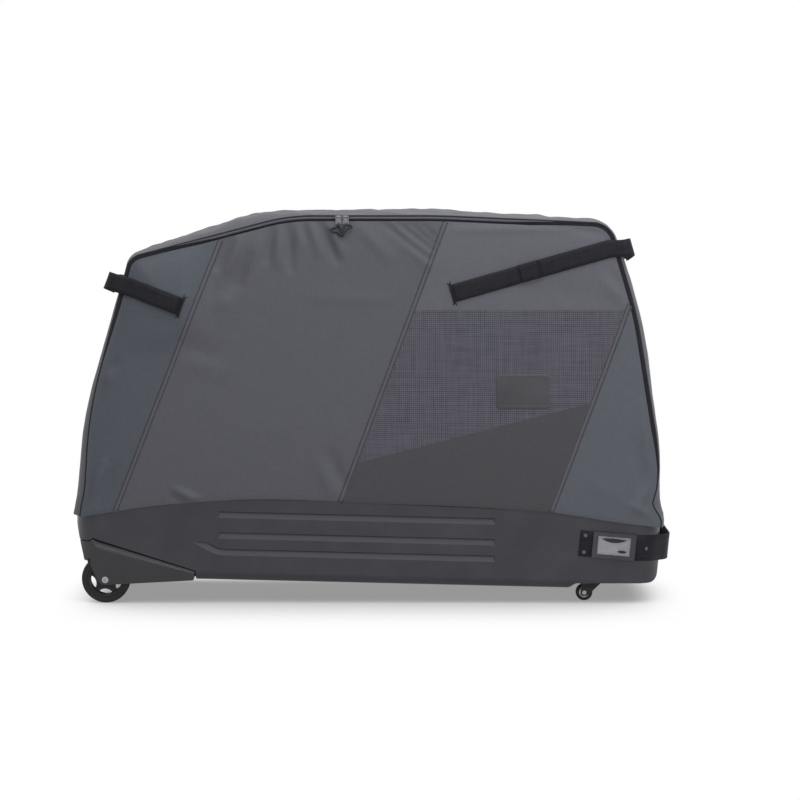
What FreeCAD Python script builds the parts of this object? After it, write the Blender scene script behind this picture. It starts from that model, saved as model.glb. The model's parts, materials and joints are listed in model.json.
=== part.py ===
import FreeCAD, Part
import math
import os

# A bike travel case: a hard moulded tub on two wheels and two casters, with a zipped soft top.
# X runs along the case, -Y is its front, Z is up from the floor. Sizes are in millimetres.

# Working allowances
overrun = 40.0
fit_gap = 0.2
moving_gap = 0.3
running_gap = 0.05

# Tub
tub_left = 634.0
tub_right = 626.0
tub_half_depth = 145.0
tub_side_draft = 2.0
tub_corner_radius = 64.0
tub_wall = 5.0
tub_edge_radius = 20.0
tub_bend_radius = 60.0
tub_left_foot = 605.0
tub_right_foot = 616.0
tub_bottom_left = 56.5
tub_bottom_right = 32.0
left_slope_height = 172.0
right_slope_height = 120.0
caster_step_x = 425.0
caster_step_run = 15.0
caster_step_radius = 8.0
caster_ceiling = 44.0
rim_peak = 225.0
rim_x_shares = (-0.03, 0.0, 0.14, 0.273, 0.525, 0.742, 0.814, 0.929, 1.0, 1.03)
rim_z_shares = (0.795, 0.822, 0.942, 0.998, 0.963, 0.907, 0.875, 0.778, 0.729, 0.705)

# Grooves along both long sides of the tub
groove_width = 15.0
groove_depth = 3.3
groove_lip = 0.5
groove_valley_width = 2.0
groove_valley_rise = 4.5
groove_end_slope = 5.0
groove_left = 325.0
groove_right = 268.0
groove_drop = 15.0
groove_heights = (193.0, 148.0, 112.0)
groove_sweep_run = 58.0
groove_sweep_rise = 31.0
groove_sweep_radius = 60.0

# Strip inside the rim and padded floor
strip_height = 25.0
strip_thickness = 2.5
pad_thickness = 10.0
pad_left = 355.0
pad_right = 405.0
pad_half_depth = 125.0

# Main wheels and their housings
wheel_x = -568.0
wheel_radius = 52.0
wheel_width = 26.0
wheel_depth = 122.0
tyre_bore_radius = 40.0
tyre_shoulder = 6.0
hub_boss_radius = 14.0
hub_boss_width = 28.0
hub_rim_inner_radius = 34.0
hub_rim_width = 22.0
hub_web_width = 10.0
hub_hole_count = 5
hub_hole_first_angle = 195.0
hub_hole_place_share = 0.545
hub_hole_length = 28.0
hub_hole_bulge = 6.0
bearing_radius = 11.0
bearing_width = 7.0
axle_radius = 5.0
bolt_head_radius = 7.0
bolt_head_height = 3.0
bolt_socket_radius = 3.4
bolt_socket_depth = 4.5
housing_inner_depth = 96.0
housing_gap = 2.0
housing_tip_x = -376.0
housing_tip_z = 70.0
housing_notch_x = -378.5
housing_notch_z = 50.5
housing_peak_x = -593.0
housing_peak_z = 140.0
housing_shoulder_x = -603.0
housing_shoulder_z = 134.0
housing_end_z = 97.0
housing_arch_x = -604.0
housing_arch_z = 92.0
housing_arch_radius = 14.0
housing_cheek_below = 12.0
housing_cheek_radius = 20.0
housing_corner_radius = 3.0
housing_brow_drop = 26.0
housing_brow_recess = 8.0
housing_brow_tip_drop = 8.0
housing_brow_tip_recess = 2.5
well_gap = 5.0
well_side_gap = 2.5

# Casters
caster_x = 484.0
caster_depth = 100.0
caster_trail = 22.0
caster_radius = 18.0
caster_width = 13.0
caster_hub_radius = 11.0
caster_shoulder = 3.0
caster_axle_radius = 3.0
caster_axle_head_radius = 4.5
caster_axle_head_height = 1.2
plate_length = 62.0
plate_width = 46.0
plate_thickness = 3.0
plate_corner_radius = 6.0
screw_inset = 8.0
screw_radius = 2.0
screw_head_radius = 3.6
screw_head_height = 1.6
kingpin_radius = 5.0
kingpin_head_radius = 6.8
kingpin_head_height = 2.0
crown_radius = 13.0
crown_thickness = 5.0
fork_thickness = 2.5
fork_side_gap = 1.0
fork_eye_radius = 7.0

# Soft top
top_half_length = 610.0
top_height = 830.0
fold_height = 240.0
cloth_wall = 4.0
panel_thickness = 3.0
rim_set_back = 0.5
lean_angle = 2.0
outline_x_shares = (-1.003, -0.9885, -0.836, -0.282, 0.244, 0.8344, 0.9303, 1.0098, 1.0131)
outline_z_shares = (0.1205, 0.476, 0.894, 1.0, 1.0, 0.9807, 0.7476, 0.3928, 0.1205)
corner_left_radius = 40.0
corner_right_radius = 50.0
side_bend_radius = 900.0
foot_bend_radius = 600.0
top_bend_radius = 400.0
top_ease_radius = 1500.0
bulge = 42.0
bulge_x_shares = (-0.75, -0.42, -0.1, -1.5, 0.0, 0.1, 0.43, 0.21, 0.19)
bulge_z_shares = (0.0, 0.0, 0.1, 0.19, 0.21, 0.05, 0.0, 0.0, 0.0)
section_depth_shares = (-1.0, -0.83, -0.5, 0.0, 0.5, 0.83, 1.0)
section_bulge_shares = (0.0, 0.66, 0.96, 1.0, 0.96, 0.66, 0.0)
gusset_split_left = 430.0
gusset_split_right = 455.0
liner_thickness = 2.5
liner_gap = 2.0

# Seams of the flap, as shares of the soft top's half length and height
seam_left_shares = ((-0.516, 0.941), (-0.885, 0.255))
seam_middle_shares = ((0.259, 0.977), (-0.103, 0.269))
seam_right_shares = ((0.898, 0.762), (0.634, 0.239))
print_top_share = 0.759
print_foot_shares = ((-0.039, 0.369), (0.779, 0.524))
patch_place_shares = (0.533, 0.551)
patch_width = 116.0
patch_height = 74.0
patch_thickness = 1.2
patch_corner_radius = 8.0

# Zip
tape_width = 4.5
tape_thickness = 2.0
chain_half_width = 3.0
chain_thickness = 3.0
chain_gap = 1.4
slider_places = (-66.0, -51.0)
slider_width = 13.0
slider_height = 18.0
slider_plate = 2.0
slider_back_reach = 7.5
ear_width = 2.0
ear_height = 6.0
ear_depth = 5.4
pin_radius = 1.0
pin_rise = 6.0
barrel_radius = 2.2
tab_width = 7.0
tab_thickness = 1.6
tab_length = 10.0
loop_width = 12.0
loop_height = 17.0
loop_cord = 3.0
loop_bend_share = 0.9
ferrule_width = 6.0
ferrule_height = 4.0

# Grab straps, their anchors on the back, and the tie-down straps inside
webbing_width = 38.0
webbing_thickness = 2.5
webbing_bend_radius = 22.0
left_strap_sewn_shares = (-0.659, 0.7699)
left_strap_angle = 159.2
left_strap_reach_share = 0.277
right_strap_sewn_shares = (0.2967, 0.8036)
right_strap_angle = 16.08
right_strap_reach_share = 0.643
strap_meeting_depth = 60.0
strap_meeting_gap = 4.0
anchor_length = 80.0
tie_places = (-250.0, 250.0)
tie_thickness = 2.0
tie_low = 88.0
tie_high = 176.0
buckle_low = 94.0
buckle_length = 52.0
buckle_width = 46.0
buckle_thickness = 7.0
anchor_plate_length = 20.0
anchor_plate_thickness = 3.0

# End handle and address frame
handle_left = 448.0
handle_height = 132.0
handle_tall = 56.0
handle_thickness = 3.0
handle_tilt = 5.0
handle_leave_angle = 50.0
handle_reach = 23.0
handle_bend_radius = 55.0
frame_left = 476.0
frame_length = 92.0
frame_thickness = 3.0
window_margin_x = 11.0
window_margin_z = 8.0
window_thickness = 1.2
card_thickness = 0.5
rivet_radius = 2.0
rivet_head_radius = 4.0
rivet_head_height = 1.5
rivet_inset_x = 11.0
rivet_inset_z = 10.0
rivet_corner_angle = 26.0

# Places worked out from the sizes above
wheel_z = wheel_radius
bottom_slope = (tub_bottom_left - tub_bottom_right) / (tub_left_foot + caster_step_x)
tub_foot_half_depth = tub_half_depth - tub_side_draft
draft = tub_side_draft / (rim_peak - tub_bottom_left)
tub_length = tub_left + tub_right
plane_depth = tub_half_depth - rim_set_back - panel_thickness
chain_inset = tape_width + chain_half_width
flap_inset = chain_inset + chain_gap
flap_panel_inset = flap_inset + chain_half_width + tape_width
chain_height = top_height - chain_inset - chain_gap / 2
handle_side = tub_half_depth - draft * (rim_peak - handle_height) + fit_gap

nodes = {}


def vector(x, y, z):
    return FreeCAD.Vector(x, y, z)


def shifted(points, radii, distance, closed):
    """Corners and radii of a flat outline moved sideways, to the left of its direction of travel."""
    count = len(points)
    moved = []
    bent = []
    for i in range(count):
        here = points[i]
        back = points[i - 1] if closed or i > 0 else None
        ahead = points[(i + 1) % count] if closed or i < count - 1 else None
        ways = []
        for start, end in ((back, here), (here, ahead)):
            if start is not None and end is not None:
                run = math.hypot(end[0] - start[0], end[1] - start[1])
                ways.append(((end[0] - start[0]) / run, (end[1] - start[1]) / run))
        first = ways[0]
        last = ways[-1]
        spread = 1 + first[0] * last[0] + first[1] * last[1]
        side = (-first[1] - last[1], first[0] + last[0])
        moved.append((here[0] + side[0] * distance / spread, here[1] + side[1] * distance / spread))
        turn = first[0] * last[1] - first[1] * last[0]
        radius = radii[i]
        bent.append(radius - math.copysign(1, turn) * distance if radius > 0 else 0)
    return moved, bent


def rounded_edges(points, radii):
    """Straight runs between points in space, with a tangent arc at each inner point that has a radius."""
    edges = []
    start = points[0]
    for before, corner, after, radius in zip(points, points[1:], points[2:], radii[1:]):
        if radius > 0:
            way_in = (corner - before).normalize()
            way_out = (after - corner).normalize()
            half_turn = way_in.getAngle(way_out) / 2
            reach = radius * math.tan(half_turn)
            first = corner - way_in * reach
            last = corner + way_out * reach
            middle = corner + (way_out - way_in).normalize() * (radius / math.cos(half_turn) - radius)
            edges.append(Part.LineSegment(start, first).toShape())
            edges.append(Part.Arc(first, middle, last).toShape())
            start = last
        else:
            edges.append(Part.LineSegment(start, corner).toShape())
            start = corner
    edges.append(Part.LineSegment(start, points[-1]).toShape())
    return edges


def closed_wire(points, radii):
    """A closed outline through points in space, starting midway along its last side."""
    begin = (points[0] + points[-1]) * 0.5
    return Part.Wire(rounded_edges([begin] + points + [begin], [0] + list(radii)))


def prism(points, radii, travel):
    return Part.Face(closed_wire(points, radii)).extrude(travel)


def side_prism(outline, radii, near, far):
    """A prism across the case, its outline given in X and Z, from depth near to depth far."""
    return prism([vector(x, near, z) for x, z in outline], radii, vector(0, far - near, 0))


def box(x0, x1, y0, y1, z0, z1):
    return Part.makeBox(x1 - x0, y1 - y0, z1 - z0, vector(x0, y0, z0))


def cylinder_y(radius, x, z, near, far):
    return Part.makeCylinder(radius, far - near, vector(x, near, z), vector(0, 1, 0))


def cylinder_z(radius, x, y, low, high):
    return Part.makeCylinder(radius, high - low, vector(x, y, low), vector(0, 0, 1))


def mirrored(shape):
    """The same piece on the other long side of the case."""
    return shape.mirror(vector(0, 0, 0), vector(0, 1, 0))


def joined(shapes):
    whole = shapes[0]
    if len(shapes) > 1:
        whole = whole.multiFuse(shapes[1:])
    return whole.removeSplitter()


def ribbon(points, radii, width):
    """Corners and radii of the outline of a strip of even width along an open route."""
    left, left_radii = shifted(points, radii, width / 2, False)
    right, right_radii = shifted(points, radii, -width / 2, False)
    return right + left[::-1], right_radii + left_radii[::-1]


# Tub: a side outline, a sloping end section and a plan outline, each run right through, share it
def bottom_at(x):
    return tub_bottom_left - bottom_slope * (x + tub_left_foot)


def side_outline(grow):
    top = rim_peak + overrun
    points = [
        (-tub_left_foot, tub_bottom_left),
        (caster_step_x, tub_bottom_right),
        (caster_step_x + caster_step_run, caster_ceiling),
        (tub_right_foot, caster_ceiling),
        (tub_right, right_slope_height),
        (tub_right, top),
        (-tub_left, top),
        (-tub_left, left_slope_height),
    ]
    step = caster_step_radius + tub_wall
    radii = [tub_edge_radius, step, step, tub_edge_radius, tub_bend_radius, 0, 0, tub_bend_radius]
    return shifted(points, radii, -grow, True)


def section_prism(grow, drop):
    """The end section run along the case, with its foot lowered by drop."""
    start_x = -tub_left - overrun
    low = bottom_at(start_x) - drop
    high = low + drop + rim_peak + overrun
    foot = tub_foot_half_depth - draft * drop
    head = tub_foot_half_depth + draft * (rim_peak + overrun)
    points = [(-foot, low), (foot, low), (head, high), (-head, high)]
    points, radii = shifted(points, [tub_edge_radius, tub_edge_radius, 0, 0], -grow, True)
    run = tub_length + overrun * 2
    return prism([vector(start_x, y, z) for y, z in points], radii, vector(run, 0, -run * bottom_slope))


def plan_prism(grow):
    points = [
        (-tub_left, -tub_half_depth),
        (tub_right, -tub_half_depth),
        (tub_right, tub_half_depth),
        (-tub_left, tub_half_depth),
    ]
    points, radii = shifted(points, [tub_corner_radius] * len(points), -grow, True)
    tall = rim_peak + overrun * 2
    return prism([vector(x, y, -overrun) for x, y in points], radii, vector(0, 0, tall))


def tub_form(grow):
    points, radii = side_outline(grow)
    form = side_prism(points, radii, -tub_half_depth - overrun, tub_half_depth + overrun)
    return form.common(section_prism(grow, 0)).common(plan_prism(grow))


def rim_prism(shift, base):
    """Everything between a level base and the arched rim line, which is moved up by shift."""
    near = -tub_half_depth - overrun
    crest = []
    for x_share, z_share in zip(rim_x_shares, rim_z_shares):
        crest.append(vector(x_share * tub_length - tub_left, near, z_share * rim_peak + shift))
    arch = Part.BSplineCurve()
    arch.interpolate(crest)
    first = vector(crest[0].x, near, base)
    last = vector(crest[-1].x, near, base)
    edges = [
        arch.toShape(),
        Part.LineSegment(crest[-1], last).toShape(),
        Part.LineSegment(last, first).toShape(),
        Part.LineSegment(first, crest[0]).toShape(),
    ]
    return Part.Face(Part.Wire(edges)).extrude(vector(0, -near * 2, 0))


def below_rim(shift):
    return rim_prism(shift, -overrun)


def above_rim(shift):
    return rim_prism(shift, top_height + overrun * 2)


def housing_outline():
    """Side outline of a wheel housing: a lower edge that dips round the axle, and a sloping top."""
    end_x = -tub_left - overrun
    cheek_x = wheel_x - housing_cheek_below
    cheek_z = wheel_z - housing_cheek_below
    points = [
        (end_x, housing_end_z),
        (housing_arch_x, housing_arch_z),
        (cheek_x, cheek_z),
        (housing_notch_x, housing_notch_z),
        (housing_tip_x, housing_tip_z),
        (housing_peak_x, housing_peak_z),
        (housing_shoulder_x, housing_shoulder_z),
        (end_x, housing_shoulder_z),
    ]
    small = housing_corner_radius
    radii = [0, housing_arch_radius, housing_cheek_radius, small, small, small, small, 0]
    return points, radii


def pocket(grow):
    """The corner of the tub given up to a wheel housing, on the front side."""
    end_x = -tub_left - overrun
    points = [
        (end_x, -overrun),
        (housing_tip_x, -overrun),
        (housing_tip_x, housing_tip_z),
        (housing_peak_x, housing_peak_z),
        (housing_shoulder_x, housing_shoulder_z),
        (end_x, housing_shoulder_z),
    ]
    points, radii = shifted(points, [0] * len(points), -housing_gap - grow, True)
    return side_prism(points, radii, -tub_half_depth - overrun, -housing_inner_depth + grow)


def groove_routes():
    routes = []
    for height in groove_heights:
        routes.append([(-groove_left, height), (groove_right, height - groove_drop)])
    swept_end = (-groove_left - groove_sweep_run, groove_heights[-1] + groove_sweep_rise)
    routes[-1].insert(0, swept_end)
    return routes


def groove_shape(route):
    """A groove of the front side: its deepest line runs near its upper edge, above a gentle lower flank."""
    bends = [0] + [groove_sweep_radius] * (len(route) - 2) + [0]
    side = tub_foot_half_depth + draft * (route[-1][1] - tub_bottom_left)
    valley = [(x, z + groove_valley_rise) for x, z in route]
    valley[0] = (valley[0][0] + groove_end_slope, valley[0][1])
    valley[-1] = (valley[-1][0] - groove_end_slope, valley[-1][1])
    wires = []
    mouth = (route, groove_width, -groove_lip)
    floor = (valley, groove_valley_width, groove_depth)
    for line, width, depth in (mouth, floor):
        points, radii = ribbon(line, bends, width)
        wires.append(closed_wire([vector(x, depth - side, z) for x, z in points], radii))
    return Part.makeLoft(wires, True, True)


def screw_places():
    places = []
    for side in (-1, 1):
        for along in (-1, 1):
            for across in (-1, 1):
                x = caster_x + along * (plate_length / 2 - screw_inset)
                y = side * caster_depth + across * (plate_width / 2 - screw_inset)
                places.append((x, y))
    return places


def handle_tilted(shape):
    tilted = shape.copy()
    tilted.rotate(vector(handle_left, 0, handle_height), vector(0, 1, 0), handle_tilt)
    return tilted


def rivet_shapes(radius, near, far):
    """Shanks for the three rivets of the front side, between two distances out from the tub."""
    shanks = []
    for rise in (-1, 1):
        z = handle_height + rise * (handle_tall / 2 - rivet_inset_z)
        x = handle_left + rivet_inset_x
        shanks.append(cylinder_y(radius, x, z, -handle_side - far, -handle_side - near))
    centre = vector(tub_right - tub_corner_radius, -handle_side + tub_corner_radius, handle_height)
    way = vector(0, -1, 0)
    corner = Part.makeCylinder(radius, far - near, centre + way * (tub_corner_radius + near), way)
    corner.rotate(centre, vector(0, 0, 1), rivet_corner_angle)
    shanks.append(corner)
    return [handle_tilted(shank) for shank in shanks]


def both_sides(shapes):
    return shapes + [mirrored(shape) for shape in shapes]


def make_tub():
    shell = tub_form(0).common(below_rim(0))
    hollow = tub_form(-tub_wall)
    for cut in both_sides([pocket(0)]):
        shell = shell.cut(cut)
    for cut in both_sides([pocket(tub_wall)]):
        hollow = hollow.cut(cut)
    grooves = [groove_shape(route) for route in groove_routes()]
    holes = []
    for x, y in screw_places():
        holes.append(cylinder_z(screw_radius + running_gap, x, y, 0, caster_ceiling + tub_wall * 2))
    rivet_holes = rivet_shapes(rivet_radius + running_gap, -tub_wall * 2, overrun)
    tub = shell.cut(hollow).cut(both_sides(grooves) + holes + both_sides(rivet_holes))
    nodes["tub"] = tub


def make_rim_strip():
    outside = tub_form(-tub_wall - fit_gap)
    inside = tub_form(-tub_wall - fit_gap - strip_thickness)
    band = below_rim(0).cut(below_rim(-strip_height))
    nodes["rim_strip"] = outside.cut(inside).common(band)


def make_floor_pad():
    low = tub_wall + fit_gap
    points = [
        (-pad_left, bottom_at(-pad_left) + low),
        (pad_right, bottom_at(pad_right) + low),
        (pad_right, bottom_at(pad_right) + low + pad_thickness),
        (-pad_left, bottom_at(-pad_left) + low + pad_thickness),
    ]
    pad = side_prism(points, [0] * len(points), -pad_half_depth, pad_half_depth)
    nodes["floor_pad"] = pad.common(tub_form(-low))


def wall_layer(depth, thickness, x, half, low, high):
    """A flat piece that lies along both long walls of the tub, at a given depth in from the outside."""
    layer = tub_form(-depth).cut(tub_form(-depth - thickness))
    deep = tub_half_depth + overrun
    return layer.common(box(x - half, x + half, -deep, deep, low, high))


def make_tie_straps():
    """Webbing tie-downs on the inner walls: each hangs from an anchor plate and ends in a buckle."""
    straps = []
    buckles = []
    plates = []
    half = webbing_width / 2
    wall = tub_wall + fit_gap
    face = wall + tie_thickness
    plate_low = tie_high - anchor_plate_length
    buckle_high = buckle_low + buckle_length
    for x in tie_places:
        straps.append(wall_layer(wall, tie_thickness, x, half, tie_low, tie_high))
        plates.append(wall_layer(face, anchor_plate_thickness, x, half, plate_low, tie_high))
        buckles.append(wall_layer(face, buckle_thickness, x, buckle_width / 2, buckle_low, buckle_high))
    for name, shapes in (("straps", straps), ("buckles", buckles), ("anchor_plates", plates)):
        solids = []
        for shape in shapes:
            solids.extend(shape.Solids)
        nodes["tie_" + name] = Part.makeCompound(solids)


# Main wheels
def turned(profile, radii, x, y, z):
    """A ring or wheel about an axis along Y; its profile is given as distance from the axis and depth."""
    points = [vector(x + reach, y + depth, z) for reach, depth in profile]
    return Part.Face(closed_wire(points, radii)).revolve(vector(x, y, z), vector(0, 1, 0), 360)


def tyre(radius, bore, width, shoulder, x, y, z):
    half = width / 2
    profile = [(bore, -half), (radius, -half), (radius, half), (bore, half)]
    return turned(profile, [0, shoulder, shoulder, 0], x, y, z)


def lens_hole(x, z, angle, reach, near, far):
    """A lens-shaped hole through the hub, its long axis square to the radius."""
    way = vector(math.cos(math.radians(angle)), 0, math.sin(math.radians(angle)))
    across = vector(-way.z, 0, way.x)
    centre = vector(x, near, z) + way * reach
    tips = (centre - across * (hub_hole_length / 2), centre + across * (hub_hole_length / 2))
    outer = Part.Arc(tips[0], centre + way * hub_hole_bulge, tips[1]).toShape()
    inner = Part.Arc(tips[1], centre - way * hub_hole_bulge, tips[0]).toShape()
    return Part.Face(Part.Wire([outer, inner])).extrude(vector(0, far - near, 0))


def make_hub(y):
    boss = hub_boss_width / 2
    web = hub_web_width / 2
    rim = hub_rim_width / 2
    bore = bearing_radius + running_gap
    edge = tyre_bore_radius - running_gap
    profile = [
        (bore, -boss),
        (hub_boss_radius, -boss),
        (hub_boss_radius, -web),
        (hub_rim_inner_radius, -web),
        (hub_rim_inner_radius, -rim),
        (edge, -rim),
        (edge, rim),
        (hub_rim_inner_radius, rim),
        (hub_rim_inner_radius, web),
        (hub_boss_radius, web),
        (hub_boss_radius, boss),
        (bore, boss),
    ]
    hub = turned(profile, [0] * len(profile), wheel_x, y, wheel_z)
    holes = []
    for i in range(hub_hole_count):
        angle = hub_hole_first_angle + 360 / hub_hole_count * i
        reach = wheel_radius * hub_hole_place_share
        holes.append(lens_hole(wheel_x, wheel_z, angle, reach, y - rim, y + rim))
    return hub.cut(holes)


def make_bearings(y):
    rings = []
    for side in (-1, 1):
        outer_end = side * hub_boss_width / 2
        inner_end = outer_end - side * bearing_width
        near, far = y + min(outer_end, inner_end), y + max(outer_end, inner_end)
        ring = cylinder_y(bearing_radius, wheel_x, wheel_z, near, far)
        rings.append(ring.cut(cylinder_y(axle_radius + running_gap, wheel_x, wheel_z, near, far)))
    return Part.makeCompound(rings)


def make_axle_bolt():
    """A shouldered bolt through the front housing, with a hexagon socket in its head."""
    seat = -tub_foot_half_depth + bolt_head_height / 2
    shank = cylinder_y(axle_radius, wheel_x, wheel_z, seat, -housing_inner_depth - fit_gap)
    head = cylinder_y(bolt_head_radius, wheel_x, wheel_z, seat - bolt_head_height, seat)
    corners = []
    for i in range(6):
        turn = math.radians(60 * i)
        reach = (bolt_socket_radius * math.cos(turn), bolt_socket_radius * math.sin(turn))
        corners.append((wheel_x + reach[0], wheel_z + reach[1]))
    outside = seat - bolt_head_height
    socket = side_prism(corners, [0] * len(corners), outside, outside + bolt_socket_depth)
    return joined([shank, head]).cut(socket)


def right_of_left_end():
    """Everything to the right of the tub's sloping left end, carried on down past the floor."""
    slope = (tub_left - tub_left_foot) / (left_slope_height - tub_bottom_left)
    low_x = -tub_left + slope * (left_slope_height + overrun)
    high = rim_peak + overrun
    points = [(-tub_left, left_slope_height), (low_x, -overrun), (0, -overrun), (0, high), (-tub_left, high)]
    return side_prism(points, [0] * len(points), -tub_half_depth - overrun, 0)


def brow_wire(place, down, drop, recess):
    """Outline of what a rounded brow takes off: an arc that starts flush and ends set back by recess."""
    radius = (drop ** 2 + recess ** 2) / (2 * recess)
    turn = math.asin(drop / radius) / 2
    foot = place + down * drop
    middle = foot + vector(0, radius * (1 - math.cos(turn)), 0) - down * (radius * math.sin(turn))
    head = place + vector(0, recess, 0)
    rise = down * -overrun
    out = vector(0, -overrun, 0)
    arc = Part.Arc(foot, middle, head).toShape()
    rest = Part.makePolygon([head, head + rise, place + rise + out, foot + out, foot])
    return Part.Wire([arc] + rest.Edges)


def housing_brow():
    """What is cut away along the sloping top of the front housing, to round it back into the tub."""
    run = vector(housing_tip_x - housing_peak_x, 0, housing_tip_z - housing_peak_z)
    along = run * (1 / run.Length)
    down = vector(along.z, 0, -along.x)
    side = tub_foot_half_depth + draft * (housing_peak_z - tub_bottom_left)
    peak = vector(housing_peak_x, -side, housing_peak_z) - along * overrun
    tip = vector(housing_tip_x, -side, housing_tip_z) + along * overrun
    high = brow_wire(peak, down, housing_brow_drop, housing_brow_recess)
    low = brow_wire(tip, down, housing_brow_tip_drop, housing_brow_tip_recess)
    return Part.makeLoft([high, low], True, True)


def make_housing():
    points, radii = housing_outline()
    body = side_prism(points, radii, -tub_half_depth - overrun, -housing_inner_depth - fit_gap)
    drop = tub_bottom_left - wheel_z + housing_cheek_below + overrun
    body = body.common(section_prism(0, drop)).common(plan_prism(0)).common(right_of_left_end())
    half = wheel_width / 2 + well_side_gap
    well = cylinder_y(wheel_radius + well_gap, wheel_x, wheel_z, -wheel_depth - half, -wheel_depth + half)
    bore = cylinder_y(axle_radius + running_gap, wheel_x, wheel_z, -tub_half_depth - overrun, 0)
    seat = -tub_foot_half_depth + bolt_head_height / 2
    counterbore = cylinder_y(bolt_head_radius + fit_gap, wheel_x, wheel_z, -tub_half_depth - overrun, seat)
    return body.cut([well, bore, counterbore, housing_brow()])


def make_wheels():
    housing = make_housing()
    bolt = make_axle_bolt()
    for name, side in (("front", -1), ("rear", 1)):
        y = side * wheel_depth
        nodes["wheel_housing_" + name] = housing if side < 0 else mirrored(housing)
        nodes["axle_bolt_" + name] = bolt if side < 0 else mirrored(bolt)
        nodes["wheel_tyre_" + name] = tyre(
            wheel_radius, tyre_bore_radius, wheel_width, tyre_shoulder, wheel_x, y, wheel_z
        )
        nodes["wheel_hub_" + name] = make_hub(y)
        nodes["wheel_bearings_" + name] = make_bearings(y)


# Casters
def make_caster(name, y):
    plate_low = caster_ceiling - plate_thickness
    half_long = plate_length / 2
    half_wide = plate_width / 2
    corners = [
        vector(caster_x - half_long, y - half_wide, plate_low),
        vector(caster_x + half_long, y - half_wide, plate_low),
        vector(caster_x + half_long, y + half_wide, plate_low),
        vector(caster_x - half_long, y + half_wide, plate_low),
    ]
    plate = prism(corners, [plate_corner_radius] * len(corners), vector(0, 0, plate_thickness))
    cuts = [cylinder_z(kingpin_radius + running_gap, caster_x, y, plate_low, caster_ceiling)]
    for screw_x, screw_y in screw_places():
        cuts.append(cylinder_z(screw_radius + running_gap, screw_x, screw_y, 0, caster_ceiling))
    nodes["caster_plate_" + name] = plate.cut(cuts)

    crown_high = plate_low - moving_gap
    crown_low = crown_high - crown_thickness
    fork_high = crown_high - screw_head_height - moving_gap
    axle_x = caster_x - caster_trail
    inner = caster_width / 2 + fork_side_gap
    outer = inner + fork_thickness
    crown = cylinder_z(crown_radius, caster_x, y, crown_low, crown_high)
    top = box(axle_x, caster_x, y - outer, y + outer, crown_low, fork_high)
    cheeks = []
    for near, far in ((y - outer, y - inner), (y + inner, y + outer)):
        eye = [
            (axle_x + fork_eye_radius, caster_radius - fork_eye_radius),
            (caster_x + crown_radius, crown_low + crown_thickness / 2),
            (caster_x + crown_radius, fork_high),
            (axle_x - fork_eye_radius, fork_high),
            (axle_x - fork_eye_radius, caster_radius - fork_eye_radius),
        ]
        bend = fork_eye_radius / 2
        cheeks.append(side_prism(eye, [bend, 0, 0, 0, bend], near, far))
    wheel_room = cylinder_y(caster_radius + fork_side_gap, axle_x, caster_radius, y - inner, y + inner)
    bore = cylinder_z(kingpin_radius + running_gap, caster_x, y, 0, crown_high)
    axle_bore = cylinder_y(caster_axle_radius + running_gap, axle_x, caster_radius, y - outer, y + outer)
    nodes["caster_fork_" + name] = joined([crown, top] + cheeks).cut([wheel_room, bore, axle_bore])

    shank = cylinder_y(caster_axle_radius, axle_x, caster_radius, y - outer, y + outer)
    heads = []
    for side in (-1, 1):
        ends = sorted((y + side * outer, y + side * (outer + caster_axle_head_height)))
        heads.append(cylinder_y(caster_axle_head_radius, axle_x, caster_radius, ends[0], ends[1]))
    nodes["caster_axle_" + name] = joined([shank] + heads)
    nodes["caster_tyre_" + name] = tyre(
        caster_radius, caster_hub_radius, caster_width, caster_shoulder, axle_x, y, caster_radius
    )
    half = caster_width / 2
    hub = cylinder_y(caster_hub_radius - running_gap, axle_x, caster_radius, y - half, y + half)
    hub_bore = cylinder_y(caster_axle_radius + running_gap, axle_x, caster_radius, y - half, y + half)
    nodes["caster_hub_" + name] = hub.cut(hub_bore)


def make_casters():
    kingpins = []
    screws = []
    plate_low = caster_ceiling - plate_thickness
    for name, side in (("front", -1), ("rear", 1)):
        y = side * caster_depth
        make_caster(name, y)
        head_high = plate_low - moving_gap * 2 - crown_thickness
        pin = cylinder_z(kingpin_radius, caster_x, y, head_high - kingpin_head_height, caster_ceiling)
        head = cylinder_z(kingpin_head_radius, caster_x, y, head_high - kingpin_head_height, head_high)
        kingpins.append(joined([pin, head]))
    for x, y in screw_places():
        shank = cylinder_z(screw_radius, x, y, plate_low, caster_ceiling + tub_wall)
        head = cylinder_z(screw_head_radius, x, y, plate_low - screw_head_height, plate_low)
        screws.append(joined([shank, head]))
    nodes["caster_kingpins"] = Part.makeCompound(kingpins)
    nodes["caster_screws"] = Part.makeCompound(screws)


# Soft top: cloth stretched between the flap outline, a bulged middle outline and the back
def outline(inset, swell):
    """Corners and radii of the flap outline, drawn in by inset and swollen by a share of the bulge."""
    points = []
    for i in range(len(outline_x_shares)):
        x = outline_x_shares[i] * top_half_length + swell * bulge_x_shares[i] * bulge
        z = outline_z_shares[i] * top_height + swell * bulge_z_shares[i] * bulge
        points.append((x, z))
    corners = [corner_left_radius, top_bend_radius, top_ease_radius, corner_right_radius]
    radii = [0, side_bend_radius] + corners + [side_bend_radius, foot_bend_radius, 0]
    return shifted(points, radii, -inset, False)


def leaned(shape, side):
    """A copy tipped inward about the fold line of the front (side -1) or the back (side 1)."""
    tipped = shape.copy()
    tipped.rotate(vector(0, side * plane_depth, fold_height), vector(1, 0, 0), side * lean_angle)
    return tipped


def gusset_section(depth_share, swell, inset):
    points, radii = outline(inset, swell)
    y = depth_share * plane_depth
    wire = closed_wire([vector(x, y, z) for x, z in points], radii)
    wire.rotate(vector(0, y, fold_height), vector(1, 0, 0), depth_share * lean_angle)
    return wire


def gusset_loft(inset):
    sections = []
    for depth_share, swell in zip(section_depth_shares, section_bulge_shares):
        sections.append(gusset_section(depth_share, swell, inset))
    return Part.makeLoft(sections, True, False)


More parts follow.
